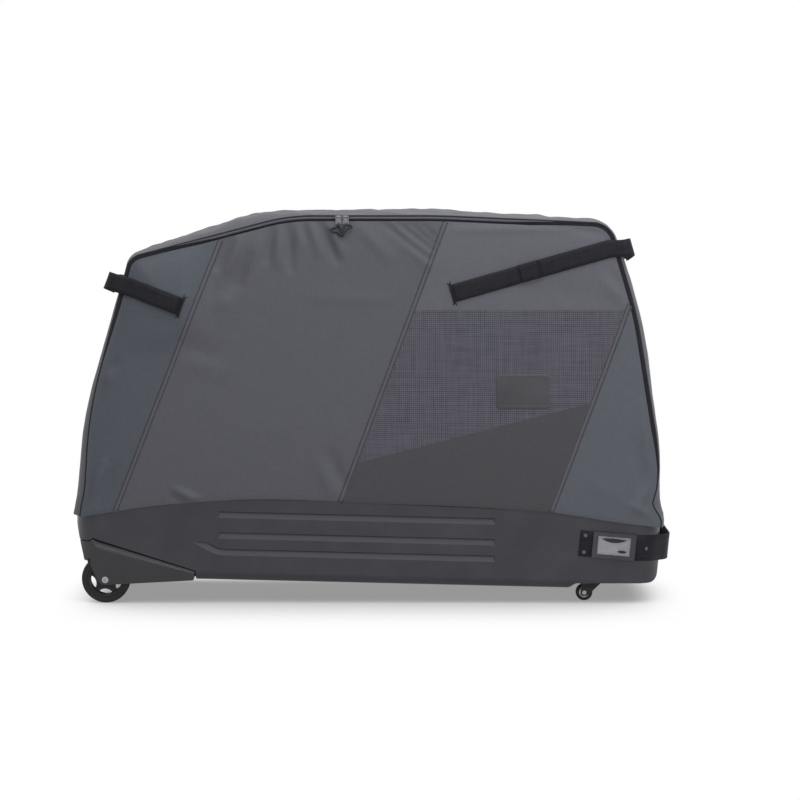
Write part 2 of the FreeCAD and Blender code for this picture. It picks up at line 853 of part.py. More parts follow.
def make_gussets():
    deep = tub_half_depth + overrun
    high = top_height + overrun * 2
    shell = gusset_loft(0).cut(gusset_loft(cloth_wall)).common(above_rim(fit_gap))
    spans = {
        "left_gusset": (-tub_left - overrun, -gusset_split_left),
        "top_gusset": (-gusset_split_left, gusset_split_right),
        "right_gusset": (gusset_split_right, tub_right + overrun),
    }
    for name, (start, end) in spans.items():
        low = fold_height if name == "top_gusset" else 0
        nodes[name] = shell.common(box(start, end, -deep, deep, low, high))


def front_sheet(inset, inner, outer):
    """The flap outline drawn in by inset, as an upright sheet between two distances out from its plane."""
    points, radii = outline(inset, 0)
    return side_prism(points, radii, -plane_depth - outer, -plane_depth - inner)


def above_fold(gap):
    deep = tub_half_depth + overrun
    wide = tub_left + overrun
    return box(-wide, wide, -deep, 0, fold_height + gap, top_height + overrun)


def top_point(shares):
    return (shares[0] * top_half_length, shares[1] * top_height)


def stretched(start, end):
    """The two ends of a seam line, carried on past the flap at both ends."""
    run = math.hypot(end[0] - start[0], end[1] - start[1])
    way = ((end[0] - start[0]) / run * top_height, (end[1] - start[1]) / run * top_height)
    return (start[0] - way[0], start[1] - way[1]), (end[0] + way[0], end[1] + way[1])


def beside(seam_shares, side):
    """Everything to the left (side -1) or right (side 1) of a seam that runs down the flap."""
    high, low = stretched(top_point(seam_shares[0]), top_point(seam_shares[1]))
    far = side * top_half_length * 4
    points = [high, low, (far, low[1]), (far, high[1])]
    return side_prism(points, [0] * len(points), -tub_half_depth - overrun, 0)


def under_print():
    left, right = stretched(top_point(print_foot_shares[0]), top_point(print_foot_shares[1]))
    deep = -top_height * 2
    points = [left, (left[0], deep), (right[0], deep), right]
    return side_prism(points, [0] * len(points), -tub_half_depth - overrun, 0)


def make_flap():
    sheet = front_sheet(flap_panel_inset, 0, panel_thickness).common(above_fold(0))
    wide = tub_left + overrun
    deep = tub_half_depth + overrun
    upper = box(-wide, wide, -deep, 0, print_top_share * top_height, top_height + overrun)
    right_part = sheet.common(beside(seam_middle_shares, 1))
    lower_part = right_part.cut(upper)
    middle_part = lower_part.common(beside(seam_right_shares, -1))
    left_part = sheet.common(beside(seam_middle_shares, -1))
    panels = {
        "flap_panel_left": left_part.common(beside(seam_left_shares, -1)),
        "flap_panel_centre": left_part.common(beside(seam_left_shares, 1)),
        "flap_panel_upper_right": right_part.common(upper),
        "flap_panel_print": middle_part.cut(under_print()),
        "flap_panel_dark": middle_part.common(under_print()),
        "flap_panel_lower_right": lower_part.common(beside(seam_right_shares, 1)),
    }
    for name, panel in panels.items():
        nodes[name] = leaned(panel, -1)
    liner_inset = flap_panel_inset + liner_gap
    liner = front_sheet(liner_inset, -fit_gap - liner_thickness, -fit_gap)
    nodes["flap_liner"] = leaned(liner.common(above_fold(liner_gap * 2)), -1)


def make_patch():
    x, z = top_point(patch_place_shares)
    half_wide = patch_width / 2
    half_tall = patch_height / 2
    corners = [
        (x - half_wide, z - half_tall),
        (x + half_wide, z - half_tall),
        (x + half_wide, z + half_tall),
        (x - half_wide, z + half_tall),
    ]
    face = -plane_depth - panel_thickness
    patch = side_prism(corners, [patch_corner_radius] * len(corners), face - patch_thickness, face)
    nodes["flap_patch"] = leaned(patch, -1)


def make_fixed_cloth():
    """The cloth that doesn't open: the strip below the fold, the back panel and its board."""
    rise = above_rim(fit_gap)
    sheet = front_sheet(0, 0, panel_thickness)
    nodes["front_skirt"] = leaned(sheet.cut(above_fold(-moving_gap)), -1).common(rise)
    nodes["back_panel"] = mirrored(leaned(sheet, -1)).common(rise)
    board = front_sheet(cloth_wall + fit_gap, -fit_gap - liner_thickness, -fit_gap)
    nodes["back_liner"] = mirrored(leaned(board, -1)).common(rise)


def make_zip():
    def band(start, end, thickness):
        ring = front_sheet(start, 0, thickness).cut(front_sheet(end, -overrun, overrun))
        return leaned(ring.common(above_fold(0)), -1)

    chain_start = tape_width + fit_gap
    flap_tape_start = flap_inset + chain_half_width + fit_gap
    nodes["zip_tape_shell"] = band(0, tape_width, tape_thickness)
    nodes["zip_chain_shell"] = band(chain_start, chain_inset, chain_thickness)
    nodes["zip_chain_flap"] = band(flap_inset, flap_inset + chain_half_width, chain_thickness)
    nodes["zip_tape_flap"] = band(flap_tape_start, flap_panel_inset - fit_gap, tape_thickness)


def make_slider(name, x):
    """A zip slider on the flap's half of the chain, with ears for its puller, and the puller itself."""
    half = slider_width / 2
    front = -plane_depth - chain_thickness - moving_gap
    face = front - slider_plate
    back = -plane_depth + moving_gap
    web = chain_gap / 2 - moving_gap
    tall = slider_height / 2
    plate = box(x - half, x + half, face, front, chain_height - tall, chain_height + tall)
    wedge = box(x - half, x + half, front, back, chain_height - web, chain_height + web)
    rear_low = chain_height - slider_back_reach
    rear = box(x - half, x + half, back, back + slider_plate, rear_low, chain_height + web)
    pin_z = chain_height + pin_rise
    pin_y = face - ear_depth / 2
    ears = []
    for start in (x - half, x + half - ear_width):
        end = start + ear_width
        ears.append(box(start, end, face - ear_depth, face, pin_z - ear_height / 2, pin_z + ear_height / 2))
    pin_start = vector(x - half + ear_width / 2, pin_y, pin_z)
    pin = Part.makeCylinder(pin_radius, slider_width - ear_width, pin_start, vector(1, 0, 0))
    nodes["zip_slider_" + name] = leaned(joined([plate, wedge, rear, pin] + ears), -1)

    barrel_half = half - ear_width - moving_gap
    start = vector(x - barrel_half, pin_y, pin_z)
    barrel = Part.makeCylinder(barrel_radius, barrel_half * 2, start, vector(1, 0, 0))
    bore = Part.makeCylinder(pin_radius + running_gap, barrel_half * 2, start, vector(1, 0, 0))
    thin = tab_thickness / 2
    tab_low = pin_z - barrel_radius - tab_length
    tab = box(x - tab_width / 2, x + tab_width / 2, pin_y - thin, pin_y + thin, tab_low, pin_z)
    nodes["zip_pull_" + name] = leaned(joined([barrel, tab]).cut(bore), -1)

    deep = loop_cord / 2
    ferrule_low = tab_low - ferrule_height
    grip = ferrule_width / 2
    ferrule = box(x - grip, x + grip, pin_y - deep, pin_y + deep, ferrule_low, tab_low)
    ring = []
    for inset in (0, loop_cord):
        wide = loop_width / 2 - inset
        low = ferrule_low - loop_height + inset + loop_cord
        high = ferrule_low + loop_cord - inset
        corners = [(x - wide, low), (x + wide, low), (x + wide, high), (x - wide, high)]
        bend = wide * loop_bend_share
        ring.append(side_prism(corners, [bend] * len(corners), pin_y - deep, pin_y + deep))
    loop = ring[0].cut(ring[1]).cut(box(x - wide, x + wide, pin_y - deep, pin_y + deep, tab_low, pin_z))
    nodes["pull_loop_" + name] = leaned(joined([ferrule, loop]), -1)


def webbing(sewn, angle, route, bends):
    """A flat strap whose route is given along its run over the flap and in depth."""
    along = vector(math.cos(angle), 0, math.sin(angle))
    across = vector(-along.z, 0, along.x)
    points, radii = ribbon(route, bends, webbing_thickness)
    base = vector(sewn[0], 0, sewn[1]) - across * (webbing_width / 2)
    corners = [base + along * s + vector(0, y, 0) for s, y in points]
    return prism(corners, radii, across * webbing_width)


def make_grab_strap(name, sewn_shares, degrees, reach_share):
    """A strap sewn to the flap that loops out round the edge; its anchor on the back is handed back."""
    sewn = top_point(sewn_shares)
    angle = math.radians(degrees)
    reach = reach_share * top_half_length
    face = plane_depth + chain_thickness + fit_gap + webbing_thickness / 2
    bends = [0, webbing_bend_radius, 0]
    rise = sewn[1] + reach * math.sin(angle) - fold_height
    drift = rise * math.sin(math.radians(lean_angle))
    route = [(0, -face), (reach, -face), (reach, strap_meeting_depth - drift)]
    nodes["grab_strap_" + name] = leaned(webbing(sewn, angle, route, bends), -1)
    meeting = strap_meeting_depth + drift + strap_meeting_gap
    route = [(reach - anchor_length, face), (reach, face), (reach, meeting)]
    return leaned(webbing(sewn, angle, route, bends), 1)


# End handle: a band round the right end of the tub, with an address frame on its front
def make_handle():
    half = handle_thickness / 2
    side = handle_side + half
    turn = math.radians(handle_leave_angle)
    bend = tub_corner_radius + half
    knee_x = tub_right - tub_corner_radius + bend * math.tan(turn / 2)
    out_x = tub_right + handle_reach - half
    out_y = side - (out_x - knee_x) * math.tan(turn)
    route = [(handle_left, -side), (knee_x, -side), (out_x, -out_y)]
    radii = [0, bend, handle_bend_radius]
    route = route + [(x, -y) for x, y in route[::-1]]
    points, bends = ribbon(route, radii + radii[::-1], handle_thickness)
    low = handle_height - handle_tall / 2
    band = handle_tilted(prism([vector(x, y, low) for x, y in points], bends, vector(0, 0, handle_tall)))
    holes = rivet_shapes(rivet_radius + running_gap, -tub_wall * 2, overrun)
    nodes["handle_band"] = band.cut(tub_form(fit_gap)).cut(both_sides(holes))

    head_base = handle_thickness + fit_gap
    head_top = head_base + rivet_head_height
    shanks = rivet_shapes(rivet_radius, -tub_wall, head_top)
    heads = rivet_shapes(rivet_head_radius, head_base, head_top)
    rivets = [joined([shank, head]) for shank, head in zip(shanks, heads)]
    nodes["handle_rivets"] = Part.makeCompound(both_sides(rivets))

    face = -handle_side - handle_thickness
    frame_right = frame_left + frame_length
    high = handle_height + handle_tall / 2
    frame = box(frame_left, frame_right, face - frame_thickness, face, low, high)
    inner = (frame_left + window_margin_x, frame_right - window_margin_x)
    sill = (low + window_margin_z, high - window_margin_z)
    opening = box(inner[0], inner[1], face - frame_thickness, face, sill[0], sill[1])
    nodes["address_frame"] = handle_tilted(frame.cut(opening))
    pane = (inner[0] + fit_gap, inner[1] - fit_gap)
    pane_low = sill[0] + fit_gap
    pane_high = sill[1] - fit_gap
    cover = face - card_thickness
    card = box(pane[0], pane[1], cover, face, pane_low, pane_high)
    window = box(pane[0], pane[1], cover - window_thickness, cover, pane_low, pane_high)
    nodes["address_card"] = handle_tilted(card)
    nodes["address_window"] = handle_tilted(window)


make_tub()
make_rim_strip()
make_floor_pad()
make_tie_straps()
make_wheels()
make_casters()
make_gussets()
make_flap()
make_patch()
make_fixed_cloth()
make_zip()
for side_name, slider_x in zip(("left", "right"), slider_places):
    make_slider(side_name, slider_x)
left_anchor = make_grab_strap("left", left_strap_sewn_shares, left_strap_angle, left_strap_reach_share)
right_anchor = make_grab_strap("right", right_strap_sewn_shares, right_strap_angle, right_strap_reach_share)
nodes["strap_anchors"] = Part.makeCompound([left_anchor, right_anchor])
make_handle()

os.makedirs("parts", exist_ok=True)
for node_name, shape in nodes.items():
    shape.exportStep("parts/" + node_name + ".step")
    print(node_name, len(shape.Solids), shape.isValid(), round(shape.Volume))
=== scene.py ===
# %% [markdown]
# # A bike travel case, dressed in Blender
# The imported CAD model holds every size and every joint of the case. This lesson loads it as a fixed frame and
# dresses it: sewn cloth, webbing, a zip, moulded plastic. Everything stays in the CAD's own coordinates, with
# +Z up and the front towards -Y. Lengths below are written in millimetres and turned to metres once, in `piece`.

# %% Load the frame
import json
import math
import bmesh
import bpy
import numpy as np
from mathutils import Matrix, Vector, geometry, noise


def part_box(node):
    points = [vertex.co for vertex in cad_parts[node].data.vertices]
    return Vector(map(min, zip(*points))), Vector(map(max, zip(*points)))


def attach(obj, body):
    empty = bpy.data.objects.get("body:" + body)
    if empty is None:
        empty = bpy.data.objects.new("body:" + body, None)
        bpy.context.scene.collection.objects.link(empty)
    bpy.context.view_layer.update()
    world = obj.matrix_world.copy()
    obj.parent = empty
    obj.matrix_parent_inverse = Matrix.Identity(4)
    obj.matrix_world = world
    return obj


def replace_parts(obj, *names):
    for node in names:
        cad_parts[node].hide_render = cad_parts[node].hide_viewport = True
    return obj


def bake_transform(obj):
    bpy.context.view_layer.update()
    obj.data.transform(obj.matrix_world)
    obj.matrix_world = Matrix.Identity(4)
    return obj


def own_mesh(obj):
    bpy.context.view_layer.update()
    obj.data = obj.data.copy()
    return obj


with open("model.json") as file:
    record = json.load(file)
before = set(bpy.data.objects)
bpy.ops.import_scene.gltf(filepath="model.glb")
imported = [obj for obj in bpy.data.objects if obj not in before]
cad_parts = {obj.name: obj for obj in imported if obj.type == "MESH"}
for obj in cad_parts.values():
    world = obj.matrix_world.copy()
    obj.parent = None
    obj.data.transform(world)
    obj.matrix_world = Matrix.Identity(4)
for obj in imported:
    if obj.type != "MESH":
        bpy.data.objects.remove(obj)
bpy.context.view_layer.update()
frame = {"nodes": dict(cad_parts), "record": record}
nodes = frame["nodes"]
MM = 0.001

# %% [markdown]
# ## Two small helpers
# A mesh piece is made from points and faces, given a finish and set riding on a body of the frame. Cloth also gets
# a flat pattern, as a tailor would draw it: a UV layer in metres, so that a weave keeps its scale on any curve.

# %% Make a mesh piece
FLAT = "FlatPattern"


def piece(name, points, faces, finish, body=None, flat=None):
    """A mesh from points in millimetres; flat holds each point's place on the cloth's pattern."""
    mesh = bpy.data.meshes.new(name)
    mesh.from_pydata((np.asarray(points, float) * MM).tolist(), [], faces)
    mesh.materials.append(finish)
    mesh.shade_smooth()
    if flat is not None:
        corners = np.empty(len(mesh.loops), np.int32)
        mesh.loops.foreach_get("vertex_index", corners)
        layer = mesh.uv_layers.new(name=FLAT)
        layer.data.foreach_set("uv", (np.asarray(flat, float)[corners] * MM).astype(np.float32).ravel())
    obj = bpy.data.objects.new(name, mesh)
    bpy.context.scene.collection.objects.link(obj)
    if body:
        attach(obj, body)
    return obj


def tidy_normals(obj):
    """Turns every face outward, for meshes whose winding isn't known beforehand."""
    work = bmesh.new()
    work.from_mesh(obj.data)
    bmesh.ops.recalc_face_normals(work, faces=work.faces)
    work.to_mesh(obj.data)
    work.free()


print("flat patterns are in the layer", FLAT)

# %% [markdown]
# ## Finishes
# Every finish starts from the real material. Colours are written as sRGB hex values of the object, and one function
# turns them to the linear values that the shader works in. One function adds a node; the recipes below are for
# materials, not for nodes.

# %% Colour and node helpers
def linear(hex_colour):
    """sRGB hex to the shader's linear colour."""
    channels = [int(hex_colour[i:i + 2], 16) / 255 for i in (1, 3, 5)]
    return tuple(c / 12.92 if c <= 0.04045 else ((c + 0.055) / 1.055) ** 2.4 for c in channels) + (1.0,)


def add(tree, kind, settings=None, inputs=None, feeds=None):
    """Adds one node with its settings; an input that is given a node or its output is linked to it.

    feeds gives, for an output of the new node, the socket that it goes to."""
    node = tree.nodes.new(kind)
    for name, value in (settings or {}).items():
        setattr(node, name, value)
    for name, value in (inputs or {}).items():
        if isinstance(value, bpy.types.Node):
            value = value.outputs[0]
        if isinstance(value, bpy.types.NodeSocket):
            tree.links.new(value, node.inputs[name])
        else:
            node.inputs[name].default_value = value
    for name, socket in (feeds or {}).items():
        tree.links.new(node.outputs[name], socket)
    return node


def new_finish(name, **principled):
    """An empty material with a Principled shader whose even values are set on its own sockets."""
    material = bpy.data.materials.new(name)
    material.use_nodes = True
    shader = material.node_tree.nodes["Principled BSDF"]
    for socket, value in principled.items():
        shader.inputs[socket.replace("_", " ")].default_value = value
    return material, material.node_tree, shader


print("half grey in linear light:", round(linear("#808080")[0], 3))

# %% [markdown]
# Coated polyester oxford cloth is woven from flat yarns about 0.6 mm apart and backed with a smooth film. The yarns
# scatter light, so it looks matt with a faint sheen, and slubs make long faint streaks along both threads. The weave
# is finer than a pixel of the picture, so it is drawn twice as coarse as it is, and the slubs carry the look. The
# panel at the upper right is the same cloth in a lighter tone. That is a painted sheen, for the paler look such cloth
# has in the light where it is cut across the weave.

# %% Woven cloth
SLUB_STRETCH = 9.0
WAVE_RADIANS = 20.0


def woven_cloth(name, hex_dark, hex_light, yarn_mm, slub_mm, roughness, sheen,
                coarser=2.0, depth_mm=0.05, gloss=0.12):
    material, tree, shader = new_finish(name, Roughness=roughness, Sheen_Weight=sheen, Sheen_Roughness=0.45,
                                        IOR=1.5, Specular_IOR_Level=gloss)
    flat = add(tree, "ShaderNodeUVMap", {"uv_map": FLAT})
    streaks = []
    for stretch in ((1.0, SLUB_STRETCH, 1.0), (SLUB_STRETCH, 1.0, 1.0)):
        lane = add(tree, "ShaderNodeMapping", None, {"Vector": flat, "Scale": stretch})
        slub = add(tree, "ShaderNodeTexNoise", {"noise_dimensions": "2D"},
                   {"Vector": lane, "Scale": 1000 / (slub_mm * SLUB_STRETCH), "Detail": 3.0})
        streaks.append(slub)
    both = add(tree, "ShaderNodeMath", {"operation": "ADD"}, {0: streaks[0], 1: streaks[1]})
    tone = add(tree, "ShaderNodeMapRange", None, {0: both, 1: 0.6, 2: 1.4})
    add(tree, "ShaderNodeMix", {"data_type": "RGBA"}, {0: tone, 6: linear(hex_dark), 7: linear(hex_light)},
        {2: shader.inputs["Base Color"]})
    # The wave node turns WAVE_RADIANS in one unit, and a whole wave of the weave is two yarns long.
    scale = 1000 / (yarn_mm * coarser) / WAVE_RADIANS * math.pi
    yarns = []
    for direction in ("X", "Y"):
        wave = add(tree, "ShaderNodeTexWave", {"bands_direction": direction}, {"Vector": flat, "Scale": scale})
        yarns.append(wave.outputs[1])
    weave = add(tree, "ShaderNodeMath", {"operation": "MULTIPLY"}, {0: yarns[0], 1: yarns[1]})
    add(tree, "ShaderNodeBump", None, {"Strength": 0.5, "Distance": depth_mm * MM, "Height": weave},
        {0: shader.inputs["Normal"]})
    return material, tree, shader


CLOTH = {
    # name of the cloth, dark and light tone, yarn and slub in mm, roughness, sheen
    "main": woven_cloth("polyester_oxford_slate", "#525259", "#58585f", 0.6, 3.0, 0.62, 0.12)[0],
    # Painted sheen: the upper right panel is the main cloth in a lighter tone.
    "upper": woven_cloth("polyester_oxford_slate_painted_sheen", "#58585f", "#5e5e66", 0.6, 3.0, 0.62, 0.12)[0],
    "side": woven_cloth("polyester_oxford_blue_slate", "#484c53", "#4e5259", 0.6, 3.0, 0.55, 0.12, gloss=0.2)[0],
    # Painted light: the lower right panel is the left panel's blue slate cloth in a lighter tone, for the light
    # falling on that side.
    "pale": woven_cloth("polyester_oxford_blue_slate_painted_light", "#52555c", "#585b62", 0.6, 3.0, 0.6, 0.12)[0],
    "dark": woven_cloth("polyester_oxford_charcoal", "#454549", "#4a4a4e", 0.6, 3.0, 0.64, 0.1)[0],
    "gusset": woven_cloth("polyester_oxford_gusset", "#56575d", "#606167", 0.6, 3.5, 0.6, 0.12)[0],
    "lining": woven_cloth("nylon_taffeta_lining", "#2f3034", "#38393e", 0.4, 2.5, 0.7, 0.1)[0],
    "webbing": woven_cloth("polypropylene_webbing_black", "#18181d", "#222228", 1.6, 5.0, 0.62, 0.05, 1.0, 0.3)[0],
    "tape": woven_cloth("polyester_zip_tape_black", "#232328", "#2f2f35", 0.8, 2.0, 0.68, 0.1)[0],
}
print("cloth finishes:", ", ".join(m.name for m in CLOTH.values()))

# %% [markdown]
# The print panel is the same cloth with a screen print on it: small dark dots in rows about 4.3 mm apart, inked
# unevenly, so that whole rows and columns look lighter or darker, like a melange yarn.

# %% Dotted print
DOT_PITCH_MM = 4.3
DOT_RADIUS_SHARE, DOT_BLUR_SHARE = 0.3, 0.1
INK_LANE = 0.04


def dotted_cloth(name):
    material, tree, shader = woven_cloth(name, "#53525b", "#5d5c66", 0.6, 6.0, 0.62, 0.12)
    plain = shader.inputs["Base Color"].links[0].from_socket
    flat = add(tree, "ShaderNodeUVMap", {"uv_map": FLAT})
    cells = add(tree, "ShaderNodeVectorMath", {"operation": "SCALE"}, {0: flat, "Scale": 1000 / DOT_PITCH_MM})
    inside = add(tree, "ShaderNodeVectorMath", {"operation": "FRACTION"}, {0: cells})
    away = add(tree, "ShaderNodeVectorMath", {"operation": "DISTANCE"}, {0: inside, 1: (0.5, 0.5, 0.0)})
    dot = add(tree, "ShaderNodeMapRange", None,
              {0: away.outputs["Value"], 1: DOT_RADIUS_SHARE, 2: DOT_RADIUS_SHARE + DOT_BLUR_SHARE, 3: 1.0, 4: 0.0})
    row_of = add(tree, "ShaderNodeVectorMath", {"operation": "FLOOR"}, {0: cells})
    inks = []
    for stretch in ((INK_LANE, 1.0, 1.0), (1.0, INK_LANE, 1.0)):
        lane = add(tree, "ShaderNodeMapping", None, {"Vector": row_of, "Scale": stretch})
        inks.append(add(tree, "ShaderNodeTexNoise", {"noise_dimensions": "2D"},
                        {"Vector": lane, "Scale": 0.9, "Detail": 2.0}))
    ink = add(tree, "ShaderNodeMath", {"operation": "MULTIPLY"}, {0: inks[0], 1: inks[1]})
    strength = add(tree, "ShaderNodeMapRange", None, {0: ink, 1: 0.12, 2: 0.38, 3: 0.35, 4: 0.95})
    cover = add(tree, "ShaderNodeMath", {"operation": "MULTIPLY"}, {0: dot, 1: strength})
    add(tree, "ShaderNodeMix", {"data_type": "RGBA"}, {0: cover, 6: plain, 7: linear("#2f2f36")},
        {2: shader.inputs["Base Color"]})
    return material


CLOTH["print"] = dotted_cloth("polyester_oxford_dot_print")
print("print dots per metre:", round(1000 / DOT_PITCH_MM))

# %% [markdown]
# The tub is thermoformed ABS sheet with a fine leather-like grain pressed into it, so highlights spread softly. The
# housings and small fittings are injection moulded: a finer spark-eroded grain and a little more gloss. A slow mottle
# in tone and roughness stands for handling, without which so large a moulding looks drawn.

# %% Moulded plastics and rubber
MOTTLE_MM = 60.0
MOTTLE_RANGE = {1: 0.3, 2: 0.7}
ROUGH_SPREAD = 0.04


def moulded(name, hex_dark, hex_light, grain_mm, roughness, depth_mm=0.12, gloss=0.25):
    material, tree, shader = new_finish(name, IOR=1.5, Specular_IOR_Level=gloss)
    place = add(tree, "ShaderNodeTexCoord").outputs["Object"]
    grain = add(tree, "ShaderNodeTexVoronoi", {"feature": "SMOOTH_F1"},
                {"Vector": place, "Scale": 1000 / grain_mm, "Smoothness": 0.6})
    mottle = add(tree, "ShaderNodeTexNoise", None,
                 {"Vector": place, "Scale": 1000 / MOTTLE_MM, "Detail": 4.0})
    tone = add(tree, "ShaderNodeMapRange", None, {0: mottle, **MOTTLE_RANGE})
    add(tree, "ShaderNodeMix", {"data_type": "RGBA"}, {0: tone, 6: linear(hex_dark), 7: linear(hex_light)},
        {2: shader.inputs["Base Color"]})
    add(tree, "ShaderNodeMapRange", None,
        {0: mottle, **MOTTLE_RANGE, 3: roughness - ROUGH_SPREAD, 4: roughness + ROUGH_SPREAD},
        {0: shader.inputs["Roughness"]})
    add(tree, "ShaderNodeBump", None, {"Strength": 0.35, "Distance": depth_mm * MM, "Height": grain},
        {0: shader.inputs["Normal"]})
    return material


PLASTIC = {
    # name of the plastic, dark and light tone, grain in mm, roughness, depth of the grain in mm
    "tub": moulded("abs_thermoformed_charcoal", "#2b2b31", "#323239", 2.4, 0.36, gloss=0.4),
    "housing": moulded("polypropylene_moulded_charcoal", "#202023", "#27272b", 1.6, 0.3, gloss=0.45),
    "black": moulded("nylon_moulded_black", "#1c1c1f", "#26262a", 1.2, 0.42),
    "frame": moulded("abs_moulded_dark_grey", "#35353c", "#3f3f47", 1.2, 0.38),
    "pale": moulded("nylon_moulded_pale_grey", "#b9b9b6", "#c8c8c4", 1.2, 0.4),
    "tyre": moulded("polyurethane_tyre_black", "#19191b", "#242427", 1.4, 0.55),
    "puller": moulded("pvc_cord_black_green", "#060c0c", "#0d1717", 1.0, 0.26, gloss=0.3),
    "foam": moulded("eva_foam_grey", "#2c2c30", "#36363b", 1.8, 0.8, 0.25),
    "patch": moulded("tpu_patch_charcoal", "#3e3e42", "#47474b", 1.0, 0.5),
    "card": moulded("paper_card_pale", "#9c9ca3", "#b2b2b8", 0.9, 0.7, 0.03),
    # The thread is near black: partly its own colour, partly painted shade for the stitch holes around it.
    "thread": moulded("polyester_thread_black_and_painted_shade", "#111115", "#1a1a1f", 0.8, 0.6),
    "board": moulded("lining_cloth_on_board", "#2d2e32", "#37383d", 1.4, 0.75, 0.1),
}
print("moulded finishes:", ", ".join(m.name for m in PLASTIC.values()))

# %% [markdown]
# Metals: the axle is bright zinc-plated steel, the handle's rivets are steel with black nickel, the sliders die-cast
# zinc with a dark nickel plating. A metal keeps the default IOR and gets its colour from its base. The casters are
# pressed steel under black powder coat, which hides the metal, so that finish is made like a moulding's.

# %% Metals and the clear window
SCRATCH_MM = 3.0
BUCKLE_MM, BUCKLE_DEPTH_MM = 30.0, 1.5


def plated(name, hex_dark, hex_light, roughness):
    material, tree, shader = new_finish(name, Metallic=1.0)
    place = add(tree, "ShaderNodeTexCoord").outputs["Object"]
    lines = add(tree, "ShaderNodeTexNoise", None, {"Vector": place, "Scale": 1000 / SCRATCH_MM, "Detail": 6.0})
    add(tree, "ShaderNodeMix", {"data_type": "RGBA"}, {0: lines, 6: linear(hex_dark), 7: linear(hex_light)},
        {2: shader.inputs["Base Color"]})
    add(tree, "ShaderNodeMapRange", None, {0: lines, 3: roughness * 0.7, 4: roughness * 1.3},
        {0: shader.inputs["Roughness"]})
    return material


METAL = {
    # name of the metal, dark and light tone, roughness; a coat also has its grain in mm before that
    "bright": plated("steel_zinc_plated", "#8b8d90", "#adafb1", 0.3),
    "black": moulded("steel_powder_coated_black", "#1b1b1e", "#252529", 1.0, 0.4),
    "rivet": plated("steel_black_nickel", "#4f5054", "#67686c", 0.34),
    "slider": plated("zinc_die_cast_dark_nickel", "#5c5c5f", "#77777a", 0.32),
}


def clear_film(name):
    """Clear PVC film: see-through, glossy, and slightly wavy, so what it mirrors is bent."""
    material, tree, shader = new_finish(name, IOR=1.54, Roughness=0.06, Alpha=0.14, Base_Color=linear("#e6e7ea"))
    place = add(tree, "ShaderNodeTexCoord").outputs["Object"]
    buckle = add(tree, "ShaderNodeTexNoise", None, {"Vector": place, "Scale": 1000 / BUCKLE_MM, "Detail": 1.0})
    add(tree, "ShaderNodeBump", None, {"Strength": 0.5, "Distance": BUCKLE_DEPTH_MM * MM, "Height": buckle},
        {0: shader.inputs["Normal"]})
    return material


PLASTIC["window"] = clear_film("pvc_film_clear")
print("finishes:", len(CLOTH) + len(PLASTIC) + len(METAL))

# %% [markdown]
# ## Studio
# The case stands on a pale sweep that reads as white because it is white to the camera, not because more light falls
# on the case. A white that shines by itself shows no shadow, so the floor is dimmed where it sees little open sky,
# which is the soft contact shadow under the case. The shadow fades out at both ends.

# %% Floor with a contact shadow
GROUND_MM = 6000.0
PAPER_WHITE = 0.9
SHADOW_REACH_MM, SHADOW_TONE = 350.0, 0.31
SKY_LEAST, SKY_MOST = 0.15, 0.95
FADE_FROM_MM, FADE_TO_MM = 560.0, 700.0


def sees_background(tree):
    """1 for the camera and for what metal and clear film show of the studio, 0 for light that falls on things."""
    rays = add(tree, "ShaderNodeLightPath")
    mirrored = add(tree, "ShaderNodeMath", {"operation": "MAXIMUM"},
                   {0: rays.outputs["Is Glossy Ray"], 1: rays.outputs["Is Transmission Ray"]})
    return add(tree, "ShaderNodeMath", {"operation": "MAXIMUM"},
               {0: rays.outputs["Is Camera Ray"], 1: mirrored})


floor = bpy.data.objects.new("floor", bpy.data.meshes.new("floor"))
floor.data.from_pydata([(x * GROUND_MM * MM, y * GROUND_MM * MM, 0.0)
                        for x, y in ((-1, -1), (1, -1), (1, 1), (-1, 1))], [], [(0, 1, 2, 3)])
bpy.context.scene.collection.objects.link(floor)

paper = bpy.data.materials.new("studio_paper_white")
paper.use_nodes = True
tree = paper.node_tree
tree.nodes.clear()
looked_at = sees_background(tree)
open_sky = add(tree, "ShaderNodeAmbientOcclusion", {"samples": 16}, {"Distance": SHADOW_REACH_MM * MM})
contact = add(tree, "ShaderNodeMapRange", {"interpolation_type": "SMOOTHSTEP"},
              {0: open_sky.outputs["AO"], 1: SKY_LEAST, 2: SKY_MOST, 3: SHADOW_TONE, 4: 1.0})
place = add(tree, "ShaderNodeSeparateXYZ", None, {0: add(tree, "ShaderNodeTexCoord").outputs["Object"]})
sideways = add(tree, "ShaderNodeMath", {"operation": "ABSOLUTE"}, {0: place.outputs["X"]})
beside = add(tree, "ShaderNodeMapRange", {"interpolation_type": "SMOOTHSTEP"},
             {0: sideways, 1: FADE_FROM_MM * MM, 2: FADE_TO_MM * MM})
tone = add(tree, "ShaderNodeMapRange", None, {0: beside, 3: contact, 4: 1.0})
seen_tone = add(tree, "ShaderNodeMath", {"operation": "MULTIPLY"}, {0: looked_at, 1: tone})
bounced = add(tree, "ShaderNodeMapRange", None, {0: looked_at, 3: PAPER_WHITE, 4: 0.0})
lit = add(tree, "ShaderNodeBsdfDiffuse", None, {"Color": bounced})
glowing = add(tree, "ShaderNodeEmission", None, {"Strength": seen_tone})
both = add(tree, "ShaderNodeAddShader", None, {0: lit, 1: glowing})
add(tree, "ShaderNodeOutputMaterial", None, {"Surface": both})
floor.data.materials.append(paper)
print("floor:", round(2 * GROUND_MM * MM), "m square")

# %% [markdown]
# The light is soft: a large softbox overhead, a small one at the front right and a low strip in front, which draws
# the highlights along the moulded edges. The world fills the shadows a little, and is white where it is looked at.

